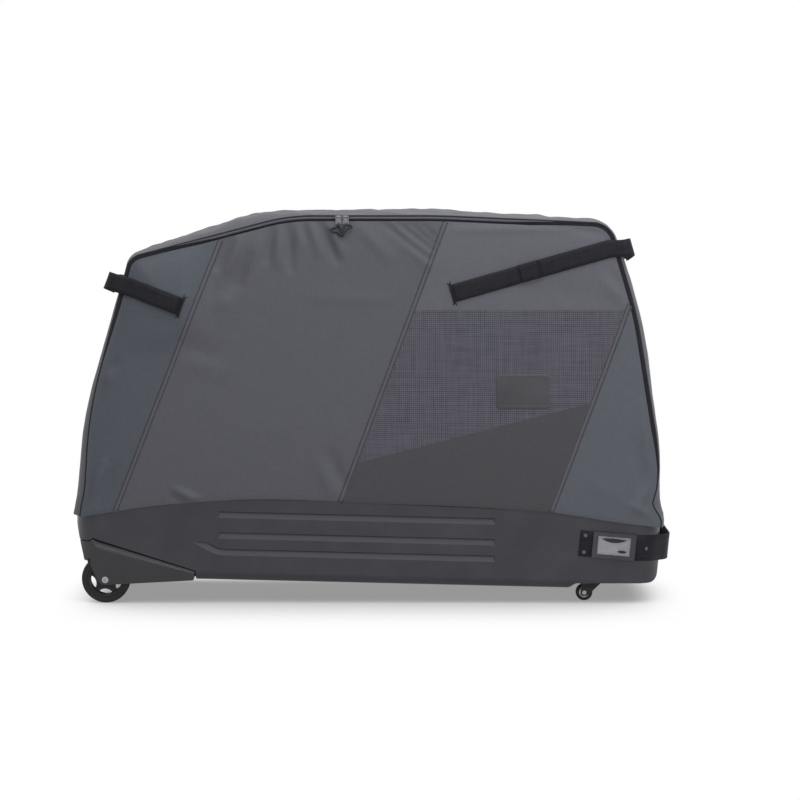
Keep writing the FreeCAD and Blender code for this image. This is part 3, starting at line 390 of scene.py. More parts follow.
# %% World and softboxes
AMBIENT = 0.22
CASE_MIDDLE = (0.0, 0.0, 0.45)
SOFTBOXES = {
    # place, what it points at, width and height in metres, watts
    "overhead": ((0.2, -0.78, 2.4), CASE_MIDDLE, (3.2, 1.5), 48),
    "strip": ((0.1, -3.4, 1.6), (0.1, 0.0, 0.15), (2.8, 0.3), 13),
    "key": ((2.4, -2.6, 1.6), CASE_MIDDLE, (0.8, 0.8), 27),
}
world = bpy.data.worlds.new("studio")
world.use_nodes = True
bpy.context.scene.world = world
tree = world.node_tree
background = tree.nodes["Background"]
background.inputs["Color"].default_value = (1.0, 1.0, 1.0, 1.0)
add(tree, "ShaderNodeMapRange", None, {0: sees_background(tree), 3: AMBIENT, 4: 1.0},
    {0: background.inputs["Strength"]})
for name, (place, target, size, power) in SOFTBOXES.items():
    lamp = bpy.data.objects.new(name, bpy.data.lights.new(name, "AREA"))
    lamp.data.shape = "RECTANGLE"
    lamp.data.size, lamp.data.size_y = size
    lamp.data.energy = power
    lamp.location = place
    lamp.rotation_euler = (Vector(target) - Vector(place)).to_track_quat("-Z", "Y").to_euler()
    bpy.context.scene.collection.objects.link(lamp)
print("softboxes:", ", ".join(SOFTBOXES))

# %% [markdown]
# The camera is a long lens at about eye height of someone sitting, square to the front and tipped down a little, so
# the ends of the case hardly show.

# %% Camera
LENS_PIXELS, IMAGE_PIXELS, SENSOR_MM = 2297.0, 800, 36.0
CAMERA_AT = (0.064, -5.0, 0.95)
CAMERA_TIP = math.radians(84.0)
camera = bpy.data.objects.new("camera", bpy.data.cameras.new("camera"))
camera.data.sensor_width = SENSOR_MM
camera.data.sensor_fit = "HORIZONTAL"
camera.data.lens = LENS_PIXELS * SENSOR_MM / IMAGE_PIXELS
camera.location = CAMERA_AT
camera.rotation_euler = (CAMERA_TIP, 0.0, 0.0)
bpy.context.scene.collection.objects.link(camera)
bpy.context.scene.camera = camera
bpy.context.scene.view_settings.view_transform = "Standard"
print("lens:", round(camera.data.lens, 1), "mm")

# %% [markdown]
# ## The cut of the soft top
# The flap, the gusset and the back all hang from one outline, so it is drawn once: corner points with a radius each,
# as on a paper pattern. It repeats the CAD's outline. Both long faces lean in by two degrees about the fold line,
# and the lower edge of the cloth follows the arched rim of the tub.

# %% Outline and rim
OUTLINE = ((-611.8, 100.0, 0), (-603.0, 395.1, 900), (-510.0, 742.0, 40), (-172.0, 830.0, 400),
           (148.8, 830.0, 1500), (509.0, 814.0, 50), (567.5, 620.5, 900), (616.0, 326.0, 600), (618.0, 100.0, 0))
BULGE = ((-31.5, 0), (-17.6, 0), (-4.2, 4.2), (-63, 8), (0, 8.8), (4.2, 2.1), (18, 0), (8.8, 0), (8, 0))
PLANE_MM = 141.5
PANEL_MM = 3.0
FOLD_MM = 240.0
LEAN = math.radians(2.0)
TUB_LEFT_MM, TUB_LENGTH_MM, RIM_PEAK_MM = 634.0, 1260.0, 225.0
RIM_X = np.array((-0.03, 0.0, 0.14, 0.273, 0.525, 0.742, 0.814, 0.929, 1.0, 1.03)) * TUB_LENGTH_MM - TUB_LEFT_MM
RIM_Z = np.array((0.795, 0.822, 0.942, 0.998, 0.963, 0.907, 0.875, 0.778, 0.729, 0.705)) * RIM_PEAK_MM
RIM_SLOPE = np.gradient(RIM_Z, RIM_X)


def rim_at(x):
    """Height of the tub's rim, as a smooth line through its measured points."""
    x = np.clip(np.asarray(x, float), RIM_X[0], RIM_X[-1])
    i = np.clip(np.searchsorted(RIM_X, x) - 1, 0, len(RIM_X) - 2)
    run = RIM_X[i + 1] - RIM_X[i]
    t = (x - RIM_X[i]) / run
    rise = RIM_Z[i + 1] - RIM_Z[i]
    a, b = RIM_SLOPE[i] * run - rise, -RIM_SLOPE[i + 1] * run + rise
    return RIM_Z[i] + t * rise + t * (1 - t) * ((1 - t) * a + t * b)


print("rim:", round(float(rim_at(0.0))), "mm high in the middle")

# %% Lines with rounded corners
def unit(ways):
    ways = np.asarray(ways, float)
    return ways / np.linalg.norm(ways, axis=-1, keepdims=True)


def run_along(path):
    """How far along a line each of its points is."""
    return np.concatenate(([0], np.cumsum(np.linalg.norm(np.diff(path, axis=0), axis=1))))


def points_at(path, at):
    """Points of a flat line at given distances along it."""
    run = run_along(path)
    return np.stack([np.interp(at, run, path[:, k]) for k in (0, 1)], axis=1)


def rounded_path(corners, step):
    """Points every step along a line with rounded corners."""
    dense = []
    for i, (x, z, radius) in enumerate(corners):
        here = np.array((x, z))
        if not radius:
            dense.append(here)
            continue
        back, on = np.array(corners[i - 1][:2]) - here, np.array(corners[i + 1][:2]) - here
        back, on = back / np.linalg.norm(back), on / np.linalg.norm(on)
        half = math.acos(np.clip(back @ on, -1, 1)) / 2
        reach = radius / math.tan(half)
        centre = here + (back + on) / np.linalg.norm(back + on) * radius / math.sin(half)
        first, last = here + back * reach - centre, here + on * reach - centre
        turn = math.pi - 2 * half
        for t in np.linspace(0, 1, max(3, int(turn * radius / 2))):
            weight = (math.sin((1 - t) * turn), math.sin(t * turn))
            dense.append(centre + (first * weight[0] + last * weight[1]) / math.sin(turn))
    dense = np.array(dense)
    length = run_along(dense)[-1]
    return points_at(dense, np.linspace(0, length, int(length / step) + 1))


print("rounded corners in the outline:", sum(radius > 0 for _, _, radius in OUTLINE))

# %% Outline on the leaning faces
EDGE_STEP_MM = 3.0


def drawn_in(path, inset):
    """The path moved towards the middle of the flap, to its right as it runs up the left side."""
    way = unit(np.gradient(path, axis=0))
    return path + np.stack((way[:, 1], -way[:, 0]), axis=1) * np.reshape(inset, (-1, 1))


def leaned(x, out, z, side=-1.0):
    """Puts a point of the flat pattern on the leaning front (side -1) or back (side 1), out from its plane."""
    turn = side * LEAN
    dy, dz = side * np.asarray(out, float), np.asarray(z, float) - FOLD_MM
    y = side * PLANE_MM + dy * np.cos(turn) - dz * np.sin(turn)
    return np.stack(np.broadcast_arrays(x, y, FOLD_MM + dy * np.sin(turn) + dz * np.cos(turn)), axis=-1)


EDGE = rounded_path(OUTLINE, EDGE_STEP_MM)
# Where the cloth is drawn over the tub's corners it flares: heights, and how far it stands out there.
FLARE_LEFT = ((165, 195, 212, 232, 255, 300), (-12, -11, -9, -5, -2, 0))
FLARE_RIGHT = ((155, 166, 178, 190, 205, 218, 232, 250, 290), (3, 5, 6, 2, -8, -13, -9, -4, 0))
EDGE[:, 0] += np.where(EDGE[:, 0] < 0, np.interp(EDGE[:, 1], *FLARE_LEFT), np.interp(EDGE[:, 1], *FLARE_RIGHT))
print("outline:", len(EDGE), "points,", round(float(run_along(EDGE)[-1])), "mm round")

# %% [markdown]
# ## How the cloth lies
# Stretched cloth is never flat. It billows a little between its seams, gathers in short folds where it is sewn to
# the curved zip, and creases at the lower corners. A cloth simulation would give folds in other places than the ones
# on this case, so the lie of the cloth is written as a height map: a billow, and a list of folds. Each fold
# is a ridge (or with a negative height a furrow) from one point to another, with its own width, fading at its ends.

# %% Seams and folds
SEAM_LEFT = ((-314.8, 781.0), (-539.9, 211.7))
SEAM_MIDDLE = ((158.0, 810.9), (-62.8, 223.3))
SEAM_RIGHT = ((547.8, 632.5), (386.7, 198.4))
SEAMS = (SEAM_LEFT, SEAM_MIDDLE, SEAM_RIGHT)
FOLDS = (
    # x, z of both ends, half width, height
    (-292, 790, -322, 722, 9, -4.0), (-270, 792, -300, 715, 10, 3.0), (-255, 738, -296, 668, 17, -4.5),
    (-236, 776, -262, 700, 14, 3.0), (-206, 798, -219, 736, 8, -3.5), (-190, 800, -196, 730, 10, 2.5),
    (-172, 803, -166, 716, 9, -3.5), (-150, 805, -150, 770, 7, 2.0), (-137, 808, -136, 782, 6, -2.5),
    (-120, 806, -108, 750, 9, 2.5), (-103, 811, -72, 738, 9, -4.5), (-84, 806, -56, 750, 10, 2.5),
    (-20, 806, 40, 740, 14, 1.8), (34, 812, 124, 738, 8, -3.5), (50, 806, 122, 730, 12, 2.2),
    (62, 812, 132, 758, 6, -3.0), (88, 812, 137, 770, 6, -2.5), (110, 812, 140, 784, 5, -2.0),
    (-412, 246, -362, 220, 9, 4.0), (-420, 232, -372, 210, 8, -3.0), (-84, 322, -54, 252, 14, -2.8),
    (-108, 300, -80, 240, 16, 2.0), (-540, 520, -566, 500, 9, -3.0), (-548, 498, -572, 470, 10, 2.5),
    (-566, 300, -600, 232, 12, 3.5), (-548, 290, -580, 222, 12, -2.5), (-470, 560, -410, 600, 26, 1.8),
    (-400, 560, -330, 528, 22, -1.8), (-392, 530, -300, 500, 26, 1.6), (-320, 640, -270, 668, 18, 1.8),
    (-130, 660, 40, 652, 14, 1.0), (180, 800, 420, 806, 10, 1.4), (440, 804, 540, 792, 12, -1.8),
    (500, 690, 545, 640, 14, 2.0), (520, 700, 560, 660, 10, -2.0), (300, 690, 470, 660, 30, -1.2),
    (585, 430, 592, 300, 10, 2.2), (566, 350, 585, 230, 14, -2.2), (590, 250, 570, 205, 9, 3.2),
    (560, 212, 600, 192, 9, 3.0), (470, 260, 540, 226, 24, 1.4),
)
print("folds placed:", len(FOLDS))

# %% Distances and ripples
SIDE_EASE_MM, RIM_EASE_MM = 60.0, 70.0


def away_from(x, z, start, end):
    """Distance from a line between two points, and how far along it, from 0 to 1."""
    run = np.subtract(end, start)
    along = ((x - start[0]) * run[0] + (z - start[1]) * run[1]) / (run @ run)
    t = np.clip(along, 0, 1)
    return np.hypot(x - start[0] - t * run[0], z - start[1] - t * run[1]), t


def near_edge(x, z):
    """Distance in from the outline, and up from the rim."""
    edge = EDGE[::4]
    gaps = np.full(x.shape, 1e9)
    for i in range(len(edge) - 1):
        gaps = np.minimum(gaps, away_from(x, z, edge[i], edge[i + 1])[0])
    return gaps, z - rim_at(x)


def ripples(x, z, waves):
    """Gentle unevenness, the same every run, from waves of a height, a size and a seed."""
    return sum(rise * np.array([noise.noise(Vector((a / size, b / size, seed))) for a, b in zip(x, z)])
               for rise, size, seed in waves)


def freedom(side_gap, rim_gap):
    """How free the cloth is to stand out: not at all at the zip and the rim, nearly fully a hand's width in."""
    return (1 - np.exp(-side_gap / SIDE_EASE_MM)) * (1 - np.exp(-np.clip(rim_gap, 0, None) / RIM_EASE_MM))


print("freedom 100 mm in:", round(float(freedom(100.0, 100.0)), 2))

# %% Height of the cloth above its plane
ZIP_COVER_MM, EDGE_ROLL_MM, EDGE_ROLL_RUN_MM = 11.5, 2.5, 22.0
BILLOW_MM, PILLOW_MM, PILLOW_RUN_MM = 6.0, 2.0, 30.0
CORNER_AT, CORNER_RAMP_MM, CORNER_RISE_MM, CORNER_RUN_MM = (-330.0, 540.0), (70.0, 120.0), 20.0, 55.0
FRONT_WAVES = ((1.2, 120, 3.1), (0.5, 45, 8.7))
FOLD_GAIN, FOLD_CLEAR_MM = 2.0, (8.0, 10.0)
LOWEST_MM, HEM_TUCK_MM, HEM_TUCK_RUN_MM = 2.3, 1.6, 9.0


def lie(x, z):
    """How far the front cloth stands out from the flap's plane."""
    x, z = np.asarray(x, float), np.asarray(z, float)
    side_gap, rim_gap = near_edge(x, z)
    inner = np.clip(side_gap - ZIP_COVER_MM, 0, None)
    free = freedom(inner, rim_gap)
    seam_gap = np.min([away_from(x, z, *seam)[0] for seam in SEAMS], axis=0)
    height = PANEL_MM + BILLOW_MM * free + PILLOW_MM * (1 - np.exp(-seam_gap / PILLOW_RUN_MM)) * free
    # The upper left corner stands out further than the rest.
    corner = (np.clip((CORNER_AT[0] - x) / CORNER_RAMP_MM[0], 0, 1)
              * np.clip((z - CORNER_AT[1]) / CORNER_RAMP_MM[1], 0, 1))
    height += (EDGE_ROLL_MM * (1 - np.exp(-inner / EDGE_ROLL_RUN_MM))
               + CORNER_RISE_MM * corner * (1 - np.exp(-inner / CORNER_RUN_MM)))
    height += free * ripples(x, z, FRONT_WAVES)
    gate = np.clip(inner / FOLD_CLEAR_MM[0], 0, 1) * np.clip(rim_gap / FOLD_CLEAR_MM[1], 0, 1)
    for x0, z0, x1, z1, width, rise in FOLDS:
        off, t = away_from(x, z, (x0, z0), (x1, z1))
        # A fold is full in its middle and about half as high at its ends.
        share = 0.25 + 0.75 * np.sin(np.pi * (0.12 + 0.76 * t))
        height += FOLD_GAIN * rise * np.exp(-(off / width) ** 2) * share * gate
    height = LOWEST_MM + np.logaddexp(0, height - LOWEST_MM)
    return height - HEM_TUCK_MM * np.clip(1 - rim_gap / HEM_TUCK_RUN_MM, 0, 1) ** 2


print("cloth stands out", round(float(lie([0.0], [500.0])[0]), 1), "mm in the middle")

# %% [markdown]
# ## Six sewn panels
# Each panel is cut from the pattern along the seam lines, filled with small triangles and raised by the lie of the
# cloth. First come the tailor's tools: to cut a closed pattern along a line, to ask which points lie inside it, and
# to fill it evenly. Even triangles keep the small folds smooth, which long thin ones would break up.

# %% Cut a pattern and fill it with triangles
CLOTH_STEP_MM, SHORTEST_MM = 5.5, 0.01
# As shares of the step: between rows of even triangles, and the least from a point to the border.
ROW_SHARE, CLEAR_SHARE = 0.866, 0.45


def cut(pattern, start, end, side):
    """The part of a closed pattern to the left (1) or right (-1) of the way from start to end."""
    run = np.subtract(end, start)
    height = side * (run[0] * (pattern[:, 1] - start[1]) - run[1] * (pattern[:, 0] - start[0]))
    kept = []
    for i in range(len(pattern)):
        j = (i + 1) % len(pattern)
        if height[i] >= 0:
            kept.append(pattern[i])
        if (height[i] >= 0) != (height[j] >= 0):
            t = height[i] / (height[i] - height[j])
            kept.append(pattern[i] + t * (pattern[j] - pattern[i]))
    return np.array(kept)


def inside(pattern, points):
    """Which points lie inside a closed pattern."""
    x, z = points[:, 0], points[:, 1]
    hit = np.zeros(len(points), bool)
    for a, b in zip(pattern, np.roll(pattern, -1, axis=0)):
        crosses = (a[1] > z) != (b[1] > z)
        with np.errstate(divide="ignore", invalid="ignore"):
            hit ^= crosses & (x < (b[0] - a[0]) * (z - a[1]) / (b[1] - a[1]) + a[0])
    return hit


def filled(pattern, step):
    """Points and triangles that fill a closed pattern evenly."""
    border = []
    for a, b in zip(pattern, np.roll(pattern, -1, axis=0)):
        count = max(1, int(math.ceil(np.linalg.norm(b - a) / step)))
        if np.linalg.norm(b - a) > SHORTEST_MM:
            border.extend(a + (b - a) * k / count for k in range(count))
    border = np.array(border)
    low, high = pattern.min(0), pattern.max(0)
    row = np.arange(low[0], high[0], step)
    lattice = np.concatenate([np.stack((row + (i % 2) * step / 2, np.full_like(row, z)), axis=1)
                              for i, z in enumerate(np.arange(low[1], high[1], step * ROW_SHARE))])
    lattice = lattice[inside(pattern, lattice)]
    clear = np.ones(len(lattice), bool)
    for a, b in zip(border, np.roll(border, -1, axis=0)):
        clear &= away_from(lattice[:, 0], lattice[:, 1], a, b)[0] > step * CLEAR_SHARE
    points = [Vector(p) for p in np.concatenate((border, lattice[clear]))]
    made = geometry.delaunay_2d_cdt(points, [], [list(range(len(border)))], 1, 1e-5)
    return np.array([tuple(p) for p in made[0]]), [tuple(f) for f in made[2]]


square = np.array(((0, 0), (100, 0), (100, 100), (0, 100)), float)
print("a square of 100 mm takes", len(filled(square, CLOTH_STEP_MM)[1]), "triangles")

# %% [markdown]
# A panel that passes the fold line runs on down to the rim in one piece, as on the real case, and is not set on the
# flap; the print panel and the upper right one lie wholly on the flap and ride on it.

# %% Patterns of the panels
RIM_GAP_MM = 0.3
FOOT_POINTS = 180
PRINT_TOP_MM = 630.0
PRINT_FOOT = ((-23.8, 306.3), (475.2, 434.9))
TOP_MM, SIDE_COVER_MM, LAP_MM = 700.0, 8.5, 2.0
TOP_COVER = ((-440, -360, 340, 420), (SIDE_COVER_MM, ZIP_COVER_MM, ZIP_COVER_MM, SIDE_COVER_MM))
LEFT_COVER = ((520, 640), (LAP_MM, SIDE_COVER_MM))
RIGHT_COVER = ((270, 370), (LAP_MM, SIDE_COVER_MM))


def front_pattern(inset):
    """The closed outline of the front cloth: round the zip and back along the rim."""
    top = drawn_in(EDGE, inset)
    top = top[top[:, 1] > rim_at(top[:, 0]) + RIM_GAP_MM]
    foot_x = np.linspace(top[-1, 0], top[0, 0], FOOT_POINTS)
    return np.concatenate((top, np.stack((foot_x, rim_at(foot_x) + RIM_GAP_MM), axis=1)))


def cover_at(edge):
    """How far in from the outline the cloth ends; low down at both ends it laps right over the zip."""
    x, z = edge[:, 0], edge[:, 1]
    ends = np.where(x < 0, np.interp(z, *LEFT_COVER), np.interp(z, *RIGHT_COVER))
    return np.where(z > TOP_MM, np.interp(x, *TOP_COVER), ends)


front = front_pattern(cover_at(EDGE))
level = ((0.0, PRINT_TOP_MM), (1.0, PRINT_TOP_MM))
right = cut(front, *SEAM_MIDDLE, 1)
lower = cut(right, *level, -1)
middle = cut(lower, *SEAM_RIGHT, -1)
left = cut(front, *SEAM_MIDDLE, -1)
PANELS = {
    # pattern, cloth, slot, whether it passes the fold line
    "left": (cut(left, *SEAM_LEFT, -1), "side", "side_cloth", True),
    "centre": (cut(left, *SEAM_LEFT, 1), "main", "main_cloth", True),
    # The upper right panel's cloth carries a painted sheen.
    "upper_right": (cut(right, *level, 1), "upper", "main_cloth", False),
    "print": (cut(middle, *PRINT_FOOT, 1), "print", "print_cloth", False),
    "dark": (cut(middle, *PRINT_FOOT, -1), "dark", "dark_cloth", True),
    # The lower right panel's cloth is lightened with painted light.
    "lower_right": (cut(lower, *SEAM_RIGHT, 1), "pale", "side_cloth", True),
}
print("front cloth:", len(front), "points round, in", len(PANELS), "panels")

# %% Sew the panels
CLOTH_THICKNESS_MM = 1.6


def fold_with_flap(obj):
    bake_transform(obj)


def thicken(obj, thickness, lining=None):
    """Gives a cloth surface its thickness, inward, and shows the lining on its inner side."""
    if lining:
        obj.data.materials.append(lining)
    # An open edge is a cut edge, so smooth shading stops there.
    faces_at = np.bincount([loop.edge_index for loop in obj.data.loops], minlength=len(obj.data.edges))
    obj.data.attributes.new("sharp_edge", "BOOLEAN", "EDGE").data.foreach_set("value", faces_at == 1)
    solid = obj.modifiers.new("thickness", "SOLIDIFY")
    solid.thickness = thickness * MM
    solid.offset = -1.0
    solid.material_offset = 1 if lining else 0


def declare_cut(pattern):
    """The size of the rectangle that a panel is cut from, in mm."""
    width, height = (pattern.max(0) - pattern.min(0)) * MM
    return round(width * 1000), round(height * 1000)


for name, (pattern, finish, slot, folds) in PANELS.items():
    flat, faces = filled(pattern, CLOTH_STEP_MM)
    points = leaned(flat[:, 0], lie(flat[:, 0], flat[:, 1]), flat[:, 1])
    panel = piece("cloth_" + name, points, faces, CLOTH[finish], None if folds else "front_flap", flat)
    if folds:
        fold_with_flap(panel)
    thicken(panel, CLOTH_THICKNESS_MM, CLOTH["lining"])
    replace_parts(panel, *["flap_panel_" + name] + ["front_skirt"] * (name == "centre"))
    print(panel.name, len(faces), "triangles, cut", declare_cut(pattern))

# %% [markdown]
# ## Felled seams
# The panels are joined by flat-felled seams: two edges are folded into each other and sewn down twice, which leaves a
# low ridge between two rows of stitches. Lines could be painted on, but a ridge catches the light from any side, so
# each seam is a ribbon swept along its line with a groove under each row, and each stitch is a small bar of thread.
# The thread's near-black tone is partly its own colour and partly painted shade, for the dark of the stitch holes.

# %% Strips of faces and bars of thread
OUT_WAY = leaned(0.0, 1.0, FOLD_MM) - leaned(0.0, 0.0, FOLD_MM)
BAR_SHOULDERS = (-0.3, 0.3)
BAR_FACES = ((0, 2, 1), (0, 3, 2), (0, 4, 3), (0, 1, 4), (1, 2, 6, 5), (2, 3, 7, 6), (3, 4, 8, 7), (4, 1, 5, 8),
             (9, 5, 6), (9, 6, 7), (9, 7, 8), (9, 8, 5))


def on_front(flat, up=0.0):
    """Points of the flat pattern on the front cloth, lifted a little."""
    return leaned(flat[:, 0], lie(flat[:, 0], flat[:, 1]) + up, flat[:, 1])


def grid_faces(rows, columns, closed=False):
    """Quads over rows of points; closed joins the last column to the first."""
    faces = []
    for i in range(rows - 1):
        for j in range(columns if closed else columns - 1):
            k = (j + 1) % columns
            faces.append((i * columns + j, (i + 1) * columns + j, (i + 1) * columns + k, i * columns + k))
    return faces


def grid_piece(name, grid, finish, body=None, flat=None, closed=False):
    """A piece from a grid of points, with a face between each four; flat is a grid of the same size."""
    flat = None if flat is None else np.reshape(flat, (-1, 2))
    return piece(name, grid.reshape(-1, 3), grid_faces(*grid.shape[:2], closed), finish, body, flat)


def thread_bars(name, centres, ways, length, radius, finish, body=None):
    """Many short bars with pointed ends: stitches, or the turns of a zip's coil."""
    ways, outs = unit(ways), np.broadcast_to(OUT_WAY, np.shape(centres))
    sides = unit(np.cross(ways, outs))
    rows = [centres - ways * length / 2 - outs * radius / 2]
    for share in BAR_SHOULDERS:
        middle = centres + ways * length * share
        rows += [middle + outs * radius, middle + sides * radius, middle - outs * radius, middle - sides * radius]
    rows.append(centres + ways * length / 2 - outs * radius / 2)
    faces = [tuple(len(rows) * k + v for v in face) for k in range(len(centres)) for face in BAR_FACES]
    obj = piece(name, np.stack(rows, axis=1).reshape(-1, 3), faces, finish)
    tidy_normals(obj)
    if body:
        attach(obj, body)
    else:
        fold_with_flap(obj)
    return obj


def left_of(way):
    """The way to the left of a way on the flat pattern."""
    return np.array((-way[1], way[0]))


print("faces of a bar of thread:", len(BAR_FACES))

# %% Seam ribbons and stitches
SEAM_PROFILE = ((-6.5, -1.0), (-6.0, 0.6), (-4.7, 0.9), (-4.2, 0.2), (-3.7, 0.9), (0.0, 1.3),
                (3.7, 0.9), (4.2, 0.2), (4.7, 0.9), (6.0, 0.6), (6.5, -1.0))
STITCH_ROWS_MM = (-4.2, 4.2)
STITCH_PITCH_MM, STITCH_LENGTH_MM, THREAD_RADIUS_MM = 4.6, 4.2, 1.0
STITCH_UP_MM, SEAM_STEP_MM, SEAM_OVERRUN_MM = 0.6, 4.0, 60.0


def seam_line(seam, step):
    """Points every step along a seam from the zip to the rim, with its way."""
    start, end = np.array(seam[0]), np.array(seam[1])
    way = unit(end - start)
    along = np.arange(-SEAM_OVERRUN_MM, np.linalg.norm(end - start) + SEAM_OVERRUN_MM, step)
    points = start + along[:, None] * way
    return points[inside(front, points)], way


stitch_at, stitch_way = [], []
for name, seam in zip(("left", "middle", "right"), SEAMS):
    line, way = seam_line(seam, SEAM_STEP_MM)
    flats = [line + left_of(way) * offset for offset, _ in SEAM_PROFILE]
    columns = [on_front(flat, up) for flat, (_, up) in zip(flats, SEAM_PROFILE)]
    fold_with_flap(grid_piece("seam_" + name, np.stack(columns, axis=1), CLOTH["main"],
                              flat=np.stack(flats, axis=1)))
    spots, way = seam_line(seam, STITCH_PITCH_MM)
    for offset in STITCH_ROWS_MM:
        row = spots + left_of(way) * offset
        stitch_at.append(on_front(row, STITCH_UP_MM))
        stitch_way.append(on_front(row + way) - on_front(row - way))
thread_bars("seam_thread", np.concatenate(stitch_at), np.concatenate(stitch_way), STITCH_LENGTH_MM,
            THREAD_RADIUS_MM, PLASTIC["thread"])
print("seam stitches:", sum(len(row) for row in stitch_at))

# %% [markdown]
# ## Patch
# On the print sits a plain rubbery patch, welded on with a raised border. It has to follow the cloth under it, so it
# is filled with small triangles like a panel and lifted off the same height map.

# %% Plain patch on the print
PATCH_AT, PATCH_HALF, PATCH_CORNER_MM = (325.1, 457.3), (58.0, 37.0), 9.0
PATCH_STEP_MM = 2.5
PATCH_LIFT = ((0.0, 1.2, 4.5, 5.5), (0.05, 1.5, 1.6, 1.1))


def rounded_rectangle(at, half, radius, turns=6):
    loop = []
    for quarter in range(4):
        sx, sz = ((1, 1), (-1, 1), (-1, -1), (1, -1))[quarter]
        for k in range(turns + 1):
            angle = (quarter + k / turns) * math.pi / 2
            loop.append((at[0] + sx * (half[0] - radius) + radius * math.cos(angle),
                         at[1] + sz * (half[1] - radius) + radius * math.sin(angle)))
    return np.array(loop)


patch_edge = rounded_rectangle(PATCH_AT, PATCH_HALF, PATCH_CORNER_MM)
flat, faces = filled(patch_edge, PATCH_STEP_MM)
inset = np.min([away_from(flat[:, 0], flat[:, 1], a, b)[0]
                for a, b in zip(patch_edge, np.roll(patch_edge, -1, axis=0))], axis=0)
patch = piece("patch_plain", on_front(flat, np.interp(inset, *PATCH_LIFT)), faces, PLASTIC["patch"],
              "front_flap")
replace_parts(patch, "flap_patch")
print("patch:", len(faces), "triangles")

# %% [markdown]
# ## Zip
# A coil zip runs round the flap: two woven tapes, each with a nylon coil along its edge. A strip of cloth faces the
# outer tape and a piped cord finishes the edge of the gusset. All of them are profiles swept round the outline; the
# turns of the coils are single bars, so the zip keeps its grain close up. The inner coil goes with the flap.

# %% Strips and coils round the outline
COIL_PITCH_MM, COIL_TURN_MM, COIL_RADIUS_MM, COIL_OUT_MM = 2.6, 3.8, 0.85, 1.7
COIL_LOW_MM = FOLD_MM + 8
ABOVE_RIM = EDGE[:, 1] > rim_at(EDGE[:, 0]) + RIM_GAP_MM
EDGE_RUN = run_along(EDGE)


def edge_strip(name, profile, finish, body=None, side=-1.0, closed=False, kept=ABOVE_RIM, taper=1.0):
    """A profile of (inset, out) points swept round the outline down to the rim, or along the part kept of it."""
    columns, flats = [], []
    run = EDGE_RUN[kept]
    for inset, out in profile:
        line = drawn_in(EDGE, inset * taper)[kept]
        columns.append(leaned(line[:, 0], out, line[:, 1], side))
        flats.append(np.stack((run, np.full(len(run), inset)), axis=1))
    obj = grid_piece(name, np.stack(columns, axis=1), finish, flat=np.stack(flats, axis=1), closed=closed)
    if closed:
        tidy_normals(obj)
    if body:
        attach(obj, body)
    else:
        fold_with_flap(obj)
    return obj


def piped(radius, inset, out, turns=10):
    return [(inset + radius * math.cos(a), out + radius * math.sin(a))
            for a in np.linspace(0, 2 * math.pi, turns, endpoint=False)]


def coil(name, inset, shift, body):
    """One half of the zip's coil, as turns that lie across the tape, above the fold."""
    line = drawn_in(EDGE, inset)
    spots = points_at(line, np.arange(shift, run_along(line)[-1], COIL_PITCH_MM))
    way = unit(np.gradient(spots, axis=0))
    kept = spots[:, 1] > COIL_LOW_MM
    spots, ends = spots[kept], (spots + np.stack((way[:, 1], -way[:, 0]), axis=1))[kept]
    centres = leaned(spots[:, 0], COIL_OUT_MM, spots[:, 1])
    return thread_bars(name, centres, leaned(ends[:, 0], COIL_OUT_MM, ends[:, 1]) - centres, COIL_TURN_MM,
                       COIL_RADIUS_MM, PLASTIC["black"], body)


print("zip:", round(float(np.ptp(EDGE_RUN[ABOVE_RIM]))), "mm round")

# %% Tapes, piping and coils
PIPING_RADIUS_MM, PIPING_INSET_MM, PIPING_OUT_MM = 1.9, 0.4, 1.3
FACING_PROFILE = ((7.3, 1.2), (7.0, 2.9), (4.6, 3.2), (2.4, 2.8), (1.5, 1.0))
FACING_ENDS_MM, FACING_TAPER = (-410, -330, 300, 390), (0.3, 1.0, 1.0, 0.3)
SHELL_TAPE_PROFILE = ((8.4, 0.9), (4.4, 0.9), (0.8, 0.6))
FLAP_TAPE_PROFILE = ((17.0, 0.7), (12.4, 0.9), (8.6, 0.9))
SHELL_COIL_MM, FLAP_COIL_MM = 6.9, 9.6
OVER_TOP = (EDGE[:, 1] > TOP_MM) & (EDGE[:, 0] > FACING_ENDS_MM[0]) & (EDGE[:, 0] < FACING_ENDS_MM[-1])
edge_strip("zip_piping", piped(PIPING_RADIUS_MM, PIPING_INSET_MM, PIPING_OUT_MM), CLOTH["tape"], "case",
           closed=True)
edge_strip("zip_facing", FACING_PROFILE, CLOTH["main"], "case", kept=OVER_TOP,
           taper=np.interp(EDGE[:, 0], FACING_ENDS_MM, FACING_TAPER))
shell_tape = edge_strip("zip_shell_tape", SHELL_TAPE_PROFILE, CLOTH["tape"], "case")
flap_tape = edge_strip("zip_flap_tape", FLAP_TAPE_PROFILE, CLOTH["tape"])
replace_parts(shell_tape, "zip_tape_shell")
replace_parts(flap_tape, "zip_tape_flap")
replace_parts(coil("zip_shell_coil", SHELL_COIL_MM, 0.0, "case"), "zip_chain_shell")
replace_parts(coil("zip_flap_coil", FLAP_COIL_MM, COIL_PITCH_MM / 2, "front_flap"), "zip_chain_flap")
print("tapes:", len(shell_tape.data.polygons), "and", len(flap_tape.data.polygons), "faces")

# %% [markdown]
# ## Gusset and back
# One long strip of cloth goes up the left end, over the top and down the right end. Between its two edges it swells
# outward, the most near the tub, and over the top it lies in slack waves. It is a grid between the front outline and
# the back one; the swell and the waves are added to it as height. The back is one plain panel with a piped edge.

